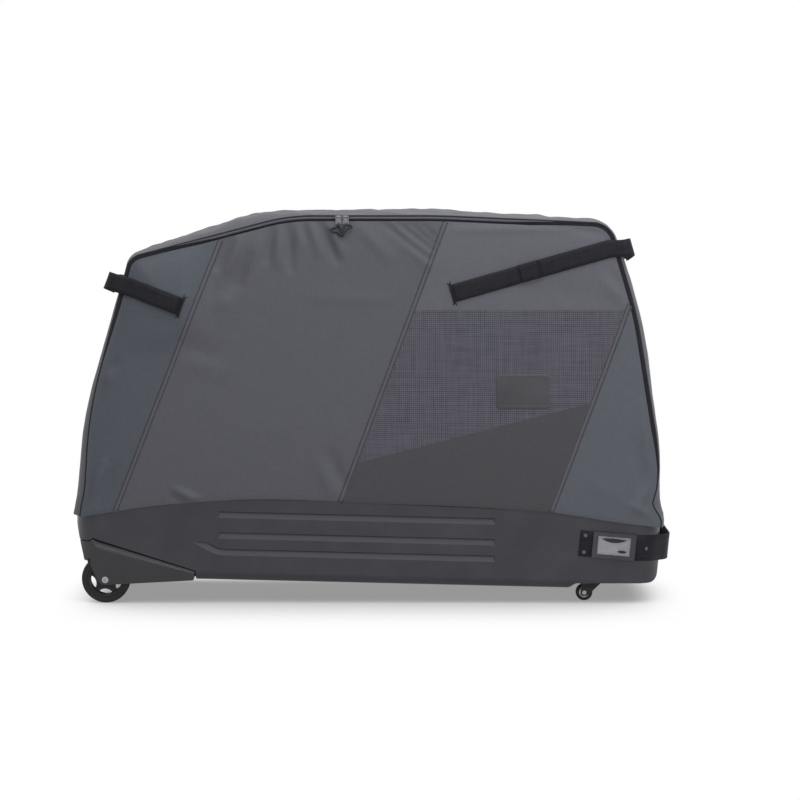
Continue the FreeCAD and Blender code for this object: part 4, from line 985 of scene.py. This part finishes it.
# %% Grid of the gusset
GUSSET_ACROSS = 41
SWELL = (1.0, -0.1692, 0.3259, -1.1567)
SLACK_FROM_MM, SLACK_RAMP_MM = 640.0, 130.0
FOOT_MM, FOOT_RAMP_MM, FOOT_FLARE_MM, FLARE_AT, FLARE_WIDTH = 190.0, 70.0, 6.5, 0.82, 0.16
SLACK_WAVES = (
    # size along and across, seed, height at the ends, how much more over the top
    (70, 45, 2.3, 1.5, 3.2), (26, 60, 7.9, 0.5, 1.6),
)


def swell(v):
    """Share of the bulge across the gusset, from none at both edges to all of it in the middle."""
    return sum(share * v ** (2 * k) for k, share in enumerate(SWELL))


def gusset_grid():
    full = rounded_path([(x + dx, z + dz, r) for (x, z, r), (dx, dz) in zip(OUTLINE, BULGE)], EDGE_STEP_MM)
    full = points_at(full, np.linspace(0, run_along(full)[-1], len(EDGE)))
    way = unit(np.gradient(EDGE, axis=0))
    outward = np.stack((-way[:, 1], way[:, 0]), axis=1)[ABOVE_RIM]
    run = np.arange(len(outward)) * EDGE_STEP_MM
    columns = []
    for v in np.linspace(-1, 1, GUSSET_ACROSS):
        line = EDGE[ABOVE_RIM] + swell(v) * (full - EDGE)[ABOVE_RIM]
        top = np.clip((line[:, 1] - SLACK_FROM_MM) / SLACK_RAMP_MM, 0, 1)
        foot = np.clip(1 - (line[:, 1] - FOOT_MM) / FOOT_RAMP_MM, 0, 1)
        depth, turn = v * PLANE_MM, v * LEAN
        waves = 0.0
        for along, over, seed, least, more in SLACK_WAVES:
            wave = np.array([noise.noise(Vector((s / along, depth / over, seed))) for s in run])
            waves = waves + (least + more * top) * wave
        flare = FOOT_FLARE_MM * math.exp(-((abs(v) - FLARE_AT) / FLARE_WIDTH) ** 2) * foot ** 1.5
        line = line + outward * ((1 - v ** 4) * waves + flare)[:, None]
        rise = line[:, 1] - FOLD_MM
        columns.append(np.stack((line[:, 0], depth - rise * np.sin(turn), FOLD_MM + rise * np.cos(turn)), axis=1))
    return np.stack(columns, axis=1)


grid = gusset_grid()
print("gusset grid:", grid.shape[0], "by", grid.shape[1], "points")

# %% [markdown]
# The foot of the cloth is turned in to the tub, so that no light shows between them when the flap is open. A ray from
# the edge of the cloth finds the tub's wall, and two more rows of points lead there.

# %% Gusset with its turned-in foot
GUSSET_WALL_MM = 1.6
HEM_DROP_MM, HEM_GAP_MM, HEM_SEARCH_MM, HEM_RAMP_MM, HEM_LEAST = 6.0, 0.8, 60.0, 60.0, 0.05
END_MIDDLE_MM = 450.0


def hem_rows(foot):
    """Two rows from the cloth's foot to the tub's wall; they run out at the front edge, which the flap covers."""
    depsgraph = bpy.context.evaluated_depsgraph_get()
    wall = []
    for x, y, z in foot:
        start = Vector((x, y, z - HEM_DROP_MM)) * MM
        inward = Vector((math.copysign(END_MIDDLE_MM, x) - x, -y, 0.0)).normalized()
        hit, place, _, _ = nodes["tub"].ray_cast(start, inward, distance=HEM_SEARCH_MM * MM, depsgraph=depsgraph)
        wall.append((place - inward * HEM_GAP_MM * MM) / MM if hit else Vector((x, y, z - HEM_DROP_MM)))
    turned = np.clip((foot[:, 1] + PLANE_MM) / HEM_RAMP_MM, HEM_LEAST, 1.0)[:, None]
    wall = foot + turned * (np.array(wall) - foot)
    return 0.5 * (foot + wall), wall


def declare_strip(grid, across, along):
    """Measures a strip over its grid's two axes and gives its mean length and width."""
    width, length = (np.linalg.norm(np.diff(grid, axis=axis), axis=2).sum(axis) for axis in (across, along))
    return round(float(length.mean())), round(float(width.mean()), 1)


near_foot, near_wall = hem_rows(grid[0])
far_foot, far_wall = hem_rows(grid[-1])
grid = np.concatenate(([near_wall, near_foot], grid, [far_foot, far_wall]))
pattern = np.meshgrid(np.arange(len(grid)) * EDGE_STEP_MM, np.linspace(0, 1, GUSSET_ACROSS) * 2 * PLANE_MM,
                      indexing="ij")
gusset = grid_piece("gusset", grid, CLOTH["gusset"], "case", np.stack(pattern, axis=2))
thicken(gusset, GUSSET_WALL_MM, CLOTH["lining"])
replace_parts(gusset, "left_gusset", "top_gusset", "right_gusset")
print("gusset, length and width in mm:", declare_strip(grid, 1, 0))

# %% Back panel
BACK_INSET_MM, BACK_STEP_MM, BACK_OUT_MM, BACK_BILLOW_MM = 1.5, 7.0, 1.6, 5.0
BACK_WAVES, BACK_PIPING_OUT_MM = ((1.4, 130, 5.5), (0.6, 50, 1.7)), 1.0
back_edge = front_pattern(BACK_INSET_MM)
flat, faces = filled(back_edge, BACK_STEP_MM)
free = freedom(*near_edge(flat[:, 0], flat[:, 1]))
height = BACK_OUT_MM + free * (BACK_BILLOW_MM + ripples(flat[:, 0], flat[:, 1], BACK_WAVES))
back = piece("cloth_back", leaned(flat[:, 0], height, flat[:, 1], 1.0), [face[::-1] for face in faces],
             CLOTH["main"], "case", flat)
thicken(back, CLOTH_THICKNESS_MM, CLOTH["lining"])
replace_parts(back, "back_panel")
print("back, cut", declare_cut(back_edge))
edge_strip("back_piping", piped(PIPING_RADIUS_MM, PIPING_INSET_MM, BACK_PIPING_OUT_MM), CLOTH["tape"],
           "case", 1.0, True)

# %% Turned-in foot of the back
BACK_HEM_MM, BACK_HEM_POINTS, BACK_HEM_OUT_MM, BACK_HEM_UP_MM = 90.0, 31, 0.6, 1.0
for name, end, toward in (("left", back_edge[:, 0].min(), 1.0), ("right", back_edge[:, 0].max(), -1.0)):
    hem_x = end + toward * np.linspace(0, BACK_HEM_MM, BACK_HEM_POINTS)
    foot = leaned(hem_x, BACK_HEM_OUT_MM, rim_at(hem_x) + RIM_GAP_MM + BACK_HEM_UP_MM, 1.0)
    grid = np.stack((foot, *hem_rows(foot)))
    pattern = np.stack(np.meshgrid(hem_x, (0.0, HEM_DROP_MM / 2, HEM_DROP_MM)), axis=2)
    hem = grid_piece("back_hem_" + name, grid, CLOTH["main"], "case", pattern)
    thicken(hem, CLOTH_THICKNESS_MM)
    print("back hem", name, "length and width in mm:", declare_strip(grid, 0, 1))

# %% [markdown]
# ## Grab straps
# Two straps of 38 mm polypropylene webbing are sewn to the flap and pass in a loop round the edge to the back, so the
# case can be lifted by its upper corners. Webbing keeps its width, so each strap is one flat section swept along a
# path that rests on the cloth, leaves it at the edge and turns towards the back.

# %% Webbing swept along a path
WEB_HALF_MM, WEB_MM = 19.0, 2.3
WEB_SECTION = ((-1.0, 0.0), (-0.97, 0.5), (-0.5, 0.42), (0.0, 0.42), (0.5, 0.42), (0.97, 0.5),
               (1.0, 0.0), (0.97, -0.5), (0.5, -0.42), (0.0, -0.42), (-0.5, -0.42), (-0.97, -0.5))


def webbing(name, centres, across, body, half=WEB_HALF_MM, thickness=WEB_MM):
    """A flat band with selvedges, closed at both ends, along centre points with one way across; and its length."""
    across = np.broadcast_to(unit(across), centres.shape)
    out = unit(np.cross(unit(np.gradient(centres, axis=0)), across))
    run = run_along(centres)
    rows = [centres + across * a * half + out * h * thickness for a, h in WEB_SECTION]
    flats = [np.stack((run, np.full(len(run), a * half)), axis=1) for a, _ in WEB_SECTION]
    count, last = len(WEB_SECTION), len(centres) * len(WEB_SECTION) - 1
    faces = grid_faces(len(centres), count, True)
    faces += [tuple(range(count)), tuple(range(last, last - count, -1))]
    obj = piece(name, np.stack(rows, axis=1).reshape(-1, 3), faces, CLOTH["webbing"], body,
                np.stack(flats, axis=1).reshape(-1, 2))
    tidy_normals(obj)
    length = float(run[-1])
    return obj, length


def heading(degrees):
    return np.array((math.cos(math.radians(degrees)), math.sin(math.radians(degrees))))


def crossing(way, side=-1.0):
    """The way across a strap that runs along a way of the pattern on the front (side -1) or the back (side 1)."""
    return leaned(-way[1], 0.0, FOLD_MM + way[0], side) - leaned(0.0, 0.0, FOLD_MM, side)


print("webbing:", 2 * WEB_HALF_MM, "by", WEB_MM, "mm")

# %% Route of a strap
LOOP_RADIUS_MM, LOOP_BOW_MM, EDGE_OUT_MM, BACK_OUT_MORE_MM, BACK_SAG_MM = 22.0, 2.5, 5.2, 3.0, 22.0
DROOP_FROM_MM, DROOP_RAMP_MM = 58.0, 48.0
STRAP_STEP_MM, TURN_POINTS, FALL_POINTS = 2.0, 14, 40
FEELERS_MM = (-16.0, -8.0, 0.0, 8.0, 16.0)
EASED_POINTS, WEB_LIFT_MM = 8, 0.3


def resting(flat, way, gap):
    """How far out the strap lies along its run: on the highest cloth under its width, level past the edge."""
    tries = [flat + left_of(way) * offset for offset in FEELERS_MM]
    on_cloth = np.all([inside(front, t) for t in tries], axis=0)
    out = np.full(len(flat), EDGE_OUT_MM)
    out[on_cloth] = np.max([lie(t[on_cloth, 0], t[on_cloth, 1]) for t in tries], axis=0) + gap
    width = 2 * EASED_POINTS + 1
    return np.convolve(np.pad(out, EASED_POINTS, mode="edge"), np.ones(width) / width, "valid")


def strap_route(sewn, way, reach, droop, first, side, meeting):
    """A strap's centre line from its sewn end round the loop to where the halves meet."""
    run = np.arange(first, reach - LOOP_RADIUS_MM, STRAP_STEP_MM)
    if side < 0:
        out = resting(np.array(sewn) + run[:, None] * way, way, WEB_MM / 2 + WEB_LIFT_MM)
    else:
        out = np.full(len(run), EDGE_OUT_MM + BACK_OUT_MORE_MM)
    turn = np.linspace(0, math.pi / 2, TURN_POINTS)
    bow = LOOP_BOW_MM * np.sin(np.linspace(0, math.pi, FALL_POINTS)[1:])
    run = np.concatenate((run, reach - LOOP_RADIUS_MM + LOOP_RADIUS_MM * np.sin(turn), reach + bow))
    out = np.concatenate((out, out[-1] - LOOP_RADIUS_MM * (1 - np.cos(turn))))
    out = np.concatenate((out, np.linspace(out[-1], -(PLANE_MM + meeting), FALL_POINTS)[1:]))
    flat = np.array(sewn) + run[:, None] * way
    points = leaned(flat[:, 0], out, flat[:, 1], side)
    slack = np.clip((run - reach + DROOP_FROM_MM) / DROOP_RAMP_MM, 0, 1)
    points[:, 2] -= droop * slack ** 2 * (3 - 2 * slack)
    points[:, 2] -= BACK_SAG_MM * np.clip(points[:, 1] / PLANE_MM / 2 + 0.5, 0, 1)
    return points


print("loops turn on a radius of", LOOP_RADIUS_MM, "mm")

# %% Straps, their anchors and tabs
STRAPS = {
    # sewn end, way of its run, reach to the loop, how far the loop droops, cloth it lies on
    "left": ((-396.4, 636.9), heading(159.2), 175.0, 3.0, "cloth_left"),
    "right": ((172.4, 664.5), heading(16.08), 401.2, 9.0, "cloth_upper_right"),
}
MEETING_MM, MEETING_GAP_MM, ANCHOR_MM = 60.0, 4.0, 80.0
TAB_POINTS, TAB_OUT_MM = 5, 2.8
for name, (sewn, way, reach, droop, cloth) in STRAPS.items():
    drift = (sewn[1] + reach * way[1] - FOLD_MM) * math.sin(LEAN)
    front_half = strap_route(sewn, way, reach, droop, 0.0, -1.0, MEETING_MM - drift)
    strap, length = webbing("strap_" + name, front_half, crossing(way), "front_flap")
    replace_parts(strap, "grab_strap_" + name)
    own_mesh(strap)
    print("strap", name, round(length), "mm long")
    meeting = -MEETING_MM - drift - MEETING_GAP_MM
    back_half = strap_route(sewn, way, reach, droop, reach - ANCHOR_MM, 1.0, meeting)
    anchor, _ = webbing("strap_anchor_" + name, back_half, crossing(way, 1.0), "case")
    if name == "left":
        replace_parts(anchor, "strap_anchors")
    meet = np.concatenate((front_half[-TAB_POINTS:], back_half[-TAB_POINTS:][::-1]))
    meet[1:-1] = (meet[:-2] + meet[1:-1] + meet[2:]) / 3
    meet += np.array((way[0], 0.0, way[1])) * TAB_OUT_MM
    webbing("strap_tab_" + name, meet, crossing(way, 1.0), "case")

# %% [markdown]
# Each sewn end is fixed with a bar tack, a dense row of stitches across the webbing, and its thread ends were left
# long, so they stick out at the corners. The right strap was pieced together: a second layer lies on it part way.

# %% Bar tacks, thread ends and the pieced layer
TACK_STITCH_MM, TACK_PITCH_MM, TACK_HALF_MM = 5.0, 2.6, 16.9
TACKS_MM, TACK_UP_MM = (4.0, 9.0), 0.2
TAIL_MM, TAIL_RADIUS_MM, TAIL_FROM_MM = 10.0, 1.1, 3.0
TAIL_IN_MM, TAIL_UP_MM = 1.0, 1.0
TAILS = (
    # side of the strap, slant along it, how far it stands out
    (1, 0.25, 9.0), (1, -0.9, 7.0), (-1, 0.25, 9.0), (-1, -0.9, 7.0),
)
LAYER_RUN_MM, LAYER_STEP_MM, LAYER_TACK_MM = (152.0, 200.0), 3.0, 5.0
LAYER_HALF_MM, LAYER_UP_MM, LAYER_TACK_UP_MM = WEB_HALF_MM + 0.3, 0.4, 0.6
tacks, tails = [], []


def tack(at, way, up):
    """Adds the stitches of one bar tack across the strap at a point of the pattern."""
    spots = np.array(at) + np.arange(-TACK_HALF_MM, TACK_HALF_MM + 0.1, TACK_PITCH_MM)[:, None] * left_of(way)
    out = resting(np.repeat([at], 3, axis=0), way, WEB_MM + up)[1]
    centres = leaned(spots[:, 0], out, spots[:, 1])
    ends = spots + way
    tacks.append((centres, leaned(ends[:, 0], out, ends[:, 1]) - centres))


for sewn, way, *_ in STRAPS.values():
    for along in TACKS_MM:
        tack(np.array(sewn) + way * along, way, TACK_UP_MM)
    for sign, slant, reach in TAILS:
        lean = unit(left_of(way) * sign + way * slant)
        corner = left_of(way) * sign * (WEB_HALF_MM - TAIL_IN_MM)
        spot = np.array(sewn) + corner + way * TAIL_FROM_MM + lean * reach / 2
        tails.append((on_front(spot[None], TAIL_UP_MM), on_front((spot + lean)[None]) - on_front(spot[None])))
sewn, way = STRAPS["right"][:2]
flat = np.array(sewn) + np.arange(*LAYER_RUN_MM, LAYER_STEP_MM)[:, None] * way
centres = leaned(flat[:, 0], resting(flat, way, WEB_MM * 1.5 + LAYER_UP_MM), flat[:, 1])
webbing("strap_layer", centres, crossing(way), "front_flap", LAYER_HALF_MM)
tack(np.array(sewn) + way * (LAYER_RUN_MM[1] - LAYER_TACK_MM), way, WEB_MM + LAYER_TACK_UP_MM)
for name, bars, length, radius in (("strap_tacks", tacks, TACK_STITCH_MM, THREAD_RADIUS_MM),
                                   ("strap_thread_ends", tails, TAIL_MM, TAIL_RADIUS_MM)):
    centres, ways = (np.concatenate(rows) for rows in zip(*bars))
    thread_bars(name, centres, ways, length, radius, PLASTIC["thread"], "front_flap")
    print(name, len(centres))

# %% [markdown]
# ## End handle
# The handle is a stiff band that lies along the tub, is riveted at the corner and bows out round the end, so a hand
# fits behind it. Its path is drawn in plan with rounded corners and tilted with the case's end.

# %% Handle band
HANDLE_AT_MM, HANDLE_HALF_MM, HANDLE_MM = (448.0, 132.0), 28.0, 3.0
HANDLE_TILT = math.radians(5.0)
HANDLE_PLAN = ((448.0, -145.6, 0), (592.5, -145.6, 65.5), (647.5, -80.1, 55), (647.5, 80.1, 55), (592.5, 145.6, 65.5),
               (448.0, 145.6, 0))


def tilted(x, y, z):
    """Points that are given level, tilted with the handle about its first rivet."""
    dx, dz = x - HANDLE_AT_MM[0], z - HANDLE_AT_MM[1]
    return np.stack(np.broadcast_arrays(HANDLE_AT_MM[0] + dx * math.cos(HANDLE_TILT) + dz * math.sin(HANDLE_TILT), y,
                                        HANDLE_AT_MM[1] - dx * math.sin(HANDLE_TILT) + dz * math.cos(HANDLE_TILT)),
                    axis=-1)


plan = rounded_path(HANDLE_PLAN, EDGE_STEP_MM)
handle, length = webbing("handle_strap", tilted(plan[:, 0], plan[:, 1], HANDLE_AT_MM[1]),
                         (math.sin(HANDLE_TILT), 0.0, math.cos(HANDLE_TILT)), "case", HANDLE_HALF_MM, HANDLE_MM)
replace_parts(handle, "handle_band")
print("handle band:", round(length), "mm long")

# %% [markdown]
# ## Inside the tub
# A padded mat lies on the floor and four short webbing tie-downs hang on the walls. They show only when the front is
# open. The mat is a crowned, quilted slab: thin at its bound edge, drawn in along the quilting lines.

# %% Floor mat
MAT_LEFT_MM, MAT_RIGHT_MM, MAT_HALF_MM, MAT_MM = -353.0, 403.0, 123.0, 9.6
MAT_ROWS, MAT_COLUMNS = 120, 44
FLOOR_FROM_MM, FLOOR_SLOPE, FLOOR_WALL_MM = (-605.0, 56.5), 24.5 / 1030, 5.4
QUILT_MM, QUILT_HALF_MM, QUILT_DEPTH = (94.5, 82), 6, 0.35
WELD_MM = 0.05


def mat_points(side):
    """The mat's upper (1) or lower (-1) skin; both meet along the bound edge."""
    u, v = np.meshgrid(np.linspace(-1, 1, MAT_ROWS), np.linspace(-1, 1, MAT_COLUMNS), indexing="ij")
    x = (MAT_LEFT_MM + MAT_RIGHT_MM) / 2 + u * (MAT_RIGHT_MM - MAT_LEFT_MM) / 2
    y = v * MAT_HALF_MM
    base = FLOOR_FROM_MM[1] - FLOOR_SLOPE * (x - FLOOR_FROM_MM[0]) + FLOOR_WALL_MM
    full = np.sqrt(np.clip((1 - np.abs(u) ** 40) * (1 - np.abs(v) ** 16), 0, 1))
    if side > 0:
        channels = [np.abs((at / pitch + 0.5) % 1 - 0.5) * pitch for at, pitch in zip((x, y), QUILT_MM)]
        full = full * (1 - QUILT_DEPTH * np.exp(-(np.min(channels, axis=0) / QUILT_HALF_MM) ** 2))
    return np.stack((x, y, base + MAT_MM / 2 + side * full * MAT_MM / 2), axis=2)


upper, lower = mat_points(1), mat_points(-1)
count = MAT_ROWS * MAT_COLUMNS
faces = grid_faces(MAT_ROWS, MAT_COLUMNS)
mat = piece("floor_mat", np.concatenate((upper.reshape(-1, 3), lower.reshape(-1, 3))),
            faces + [tuple(count + v for v in face[::-1]) for face in faces], PLASTIC["foam"], "case")
work = bmesh.new()
work.from_mesh(mat.data)
bmesh.ops.remove_doubles(work, verts=work.verts, dist=WELD_MM * MM)
work.to_mesh(mat.data)
work.free()
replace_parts(mat, "floor_pad")
print("mat:", len(mat.data.polygons), "faces")

# %% Tie-downs
TIE_X_MM, TIE_LOW_MM, TIE_HIGH_MM = (-250.0, 250.0), 88.0, 176.0
TIE_HALF_MM, TIE_MM = WEB_HALF_MM - 0.3, 1.8
TIE_POINTS, WALL_DRAFT, WALL_GAP_MM = 24, 2.0 / 168.5, 1.1
tie_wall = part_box("tie_straps")[1][1] / MM
heights = np.linspace(TIE_LOW_MM, TIE_HIGH_MM, TIE_POINTS)
for k, (x, side) in enumerate((x, side) for x in TIE_X_MM for side in (-1, 1)):
    y = side * (tie_wall - (TIE_HIGH_MM - heights) * WALL_DRAFT - WALL_GAP_MM)
    centres = np.stack((np.full_like(heights, x), y, heights), axis=1)
    tie, _ = webbing("tie_down_%d" % (k + 1), centres, (1.0, 0.0, 0.0), "case", TIE_HALF_MM, TIE_MM)
    if k == 0:
        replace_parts(tie, "tie_straps")
print("tie-downs:", k + 1, "on the wall at", round(tie_wall, 1), "mm")

# %% [markdown]
# ## Pullers
# Each slider has a loop of glossy black-green cord to pull it by. The loops are soft and lie splayed and crossed over
# each other, so each is a tube along a smooth closed line through a few points, resting on the cloth.

# %% Puller loops
PULLER_RADIUS_MM, PULLER_GAP_MM, PULLER_POINTS, PULLER_SIDES = 2.1, 0.4, 90, 10
PULLERS = {
    # place of the slider, height above the cloth, points across and down from its pin
    "left": (-66.0, 0.0, ((-1, -3), (-5, -9), (-13, -12), (-17.5, -15), (-12, -18.5), (-2, -20), (6, -27), (10, -26),
                          (6, -16), (2, -7))),
    "right": (-51.0, 3.2, ((1, -3), (5, -5), (11, -6), (13, -9), (8, -11.5), (2, -15), (-5, -23), (-10, -26),
                           (-11, -22), (-6, -13), (-2, -6))),
}
PIN_MM, PIN_OUT_MM, PIN_DROP_MM, PIN_SLOPE = 815.0, 7.5, 6, 0.1
SLIDES_MM = {"left": np.linspace(0, -45, 10), "right": np.linspace(0, 150, 31)}


def smooth_loop(points, count):
    """A smooth closed line through points."""
    points = np.asarray(points, float)
    at = np.linspace(0, len(points), count, endpoint=False)
    i, t = at.astype(int), (at % 1)[:, None]
    a, b, c, d = (points[(i + k) % len(points)] for k in (-1, 0, 1, 2))
    return b + 0.5 * t * (c - a + t * (2 * a - 5 * b + 4 * c - d + t * (3 * (b - c) + d - a)))


def closed_tube(name, line, radius, finish, body):
    way = unit(np.roll(line, -1, axis=0) - np.roll(line, 1, axis=0))
    side = unit(np.cross(way, OUT_WAY))
    top = np.cross(side, way)
    rows = [line + radius * (side * math.cos(a) + top * math.sin(a))
            for a in np.linspace(0, 2 * math.pi, PULLER_SIDES, endpoint=False)]
    points = np.stack(rows, axis=1).reshape(-1, 3)
    faces = grid_faces(len(line) + 1, PULLER_SIDES, True)
    obj = piece(name, points, [tuple(v % len(points) for v in face) for face in faces], finish, body)
    tidy_normals(obj)
    return obj


for name, (x, up, points) in PULLERS.items():
    flat = smooth_loop(np.array(points) + (x, PIN_MM), PULLER_POINTS)
    cloth = np.max([lie(flat[:, 0] + slide, flat[:, 1]) for slide in SLIDES_MM[name]], axis=0)
    out = np.maximum(cloth + PULLER_RADIUS_MM + PULLER_GAP_MM + up,
                     PIN_OUT_MM + (flat[:, 1] - PIN_MM + PIN_DROP_MM) * PIN_SLOPE)
    loop = closed_tube("puller_loop_" + name, leaned(flat[:, 0], out, flat[:, 1]), PULLER_RADIUS_MM,
                       PLASTIC["puller"], "puller_" + name)
    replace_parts(loop, "pull_loop_" + name)
print("puller loops:", len(PULLERS))

# %% [markdown]
# ## Address card
# The card stands in a pocket behind a clear window. The two dark curved reflections on the window are painted: they
# are lens-shaped black insets on the window's face.

# %% Painted dark reflections on the window
DARK_REFLECTIONS = (
    # middle across and up, half width, height, how far its middle is raised
    (521.0, 146.5, 27.0, 9.0, -3.0), (540.0, 121.0, 10.5, 6.0, 0.0),
)
REFLECTION_POINTS, REFLECTION_MM, REFLECTION_LIFT_MM = 25, 0.3, 0.1
card_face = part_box("address_window")[0][1] / MM - REFLECTION_LIFT_MM
along = np.linspace(-1, 1, REFLECTION_POINTS)
belly = 1 - along ** 2
# Each black lens is a painted reflection, laid just in front of the window.
for k, (x, z, half, tall, sag) in enumerate(DARK_REFLECTIONS):
    rims = [tilted(x + along * half, card_face, z + sag * belly + tall * belly * rise) for rise in (0.5, -0.5)]
    painted_reflection = grid_piece("card_slot_%d" % (k + 1), np.stack(rims), PLASTIC["black"], "case")
    thicken(painted_reflection, REFLECTION_MM)
print("window face at", round(card_face, 2), "mm")

# %% [markdown]
# ## Rigid parts
# What is rigid on the case is right as the CAD has it, so those nodes stay and only get their finish and softened
# edges: a moulding never has a knife edge, and a thin rounded edge is what shows the light along it.

# %% Finishes and edges of the CAD parts
FINISH_OF_SLOT = {
    "tub_plastic": PLASTIC["tub"], "housing_plastic": PLASTIC["housing"], "black_plastic": PLASTIC["black"],
    "pale_plastic": PLASTIC["pale"], "frame_plastic": PLASTIC["frame"], "lining": PLASTIC["board"],
    "slider_metal": METAL["slider"], "puller_rubber": PLASTIC["puller"], "bright_steel": METAL["bright"],
    "black_steel": METAL["black"], "tyre": PLASTIC["tyre"], "clear_window": PLASTIC["window"],
    "card": PLASTIC["card"],
}
EDGE_WIDTHS_MM = {"tub": 2.2, "wheel_housing_front": 2.5, "wheel_housing_rear": 2.5, "address_frame": 0.8}
SMALL_EDGE_MM, EDGE_SEGMENTS = 0.5, 3
CREASE_ANGLE, BEVEL_ANGLE = math.radians(13), math.radians(40)
NO_EDGE = ("address_card", "address_window", "flap_liner", "back_liner")


def smooth_by_angle(limit):
    """A recipe for a modifier: shading is smooth over an edge only where its faces turn by less than the limit."""
    group = bpy.data.node_groups.new("smooth_by_angle", "GeometryNodeTree")
    group.interface.new_socket("Geometry", in_out="INPUT", socket_type="NodeSocketGeometry")
    group.interface.new_socket("Geometry", in_out="OUTPUT", socket_type="NodeSocketGeometry")
    mesh = add(group, "NodeGroupInput")
    angle = add(group, "GeometryNodeInputMeshEdgeAngle")
    gentle = add(group, "FunctionNodeCompare", {"data_type": "FLOAT", "operation": "LESS_THAN"}, {0: angle, 1: limit})
    shaded = add(group, "GeometryNodeSetShadeSmooth", {"domain": "EDGE"}, {0: mesh, "Shade Smooth": gentle})
    add(group, "NodeGroupOutput", None, {0: shaded})
    return group


creases = smooth_by_angle(CREASE_ANGLE)
dressed = 0
for part in frame["record"]["subparts"]:
    finish = FINISH_OF_SLOT.get(part["material_slot"])
    if finish is None:
        continue
    node = nodes[part["node"]]
    for holder in node.material_slots:
        holder.material = METAL["rivet"] if part["node"] == "handle_rivets" else finish
    dressed += 1
    if part["node"] not in NO_EDGE:
        node.modifiers.new("creases", "NODES").node_group = creases
        edge = node.modifiers.new("moulded edge", "BEVEL")
        edge.width = EDGE_WIDTHS_MM.get(part["node"], SMALL_EDGE_MM) * MM
        edge.segments = EDGE_SEGMENTS
        edge.limit_method = "ANGLE"
        edge.angle_limit = BEVEL_ANGLE
        edge.harden_normals = True
print("CAD parts with a finish:", dressed)
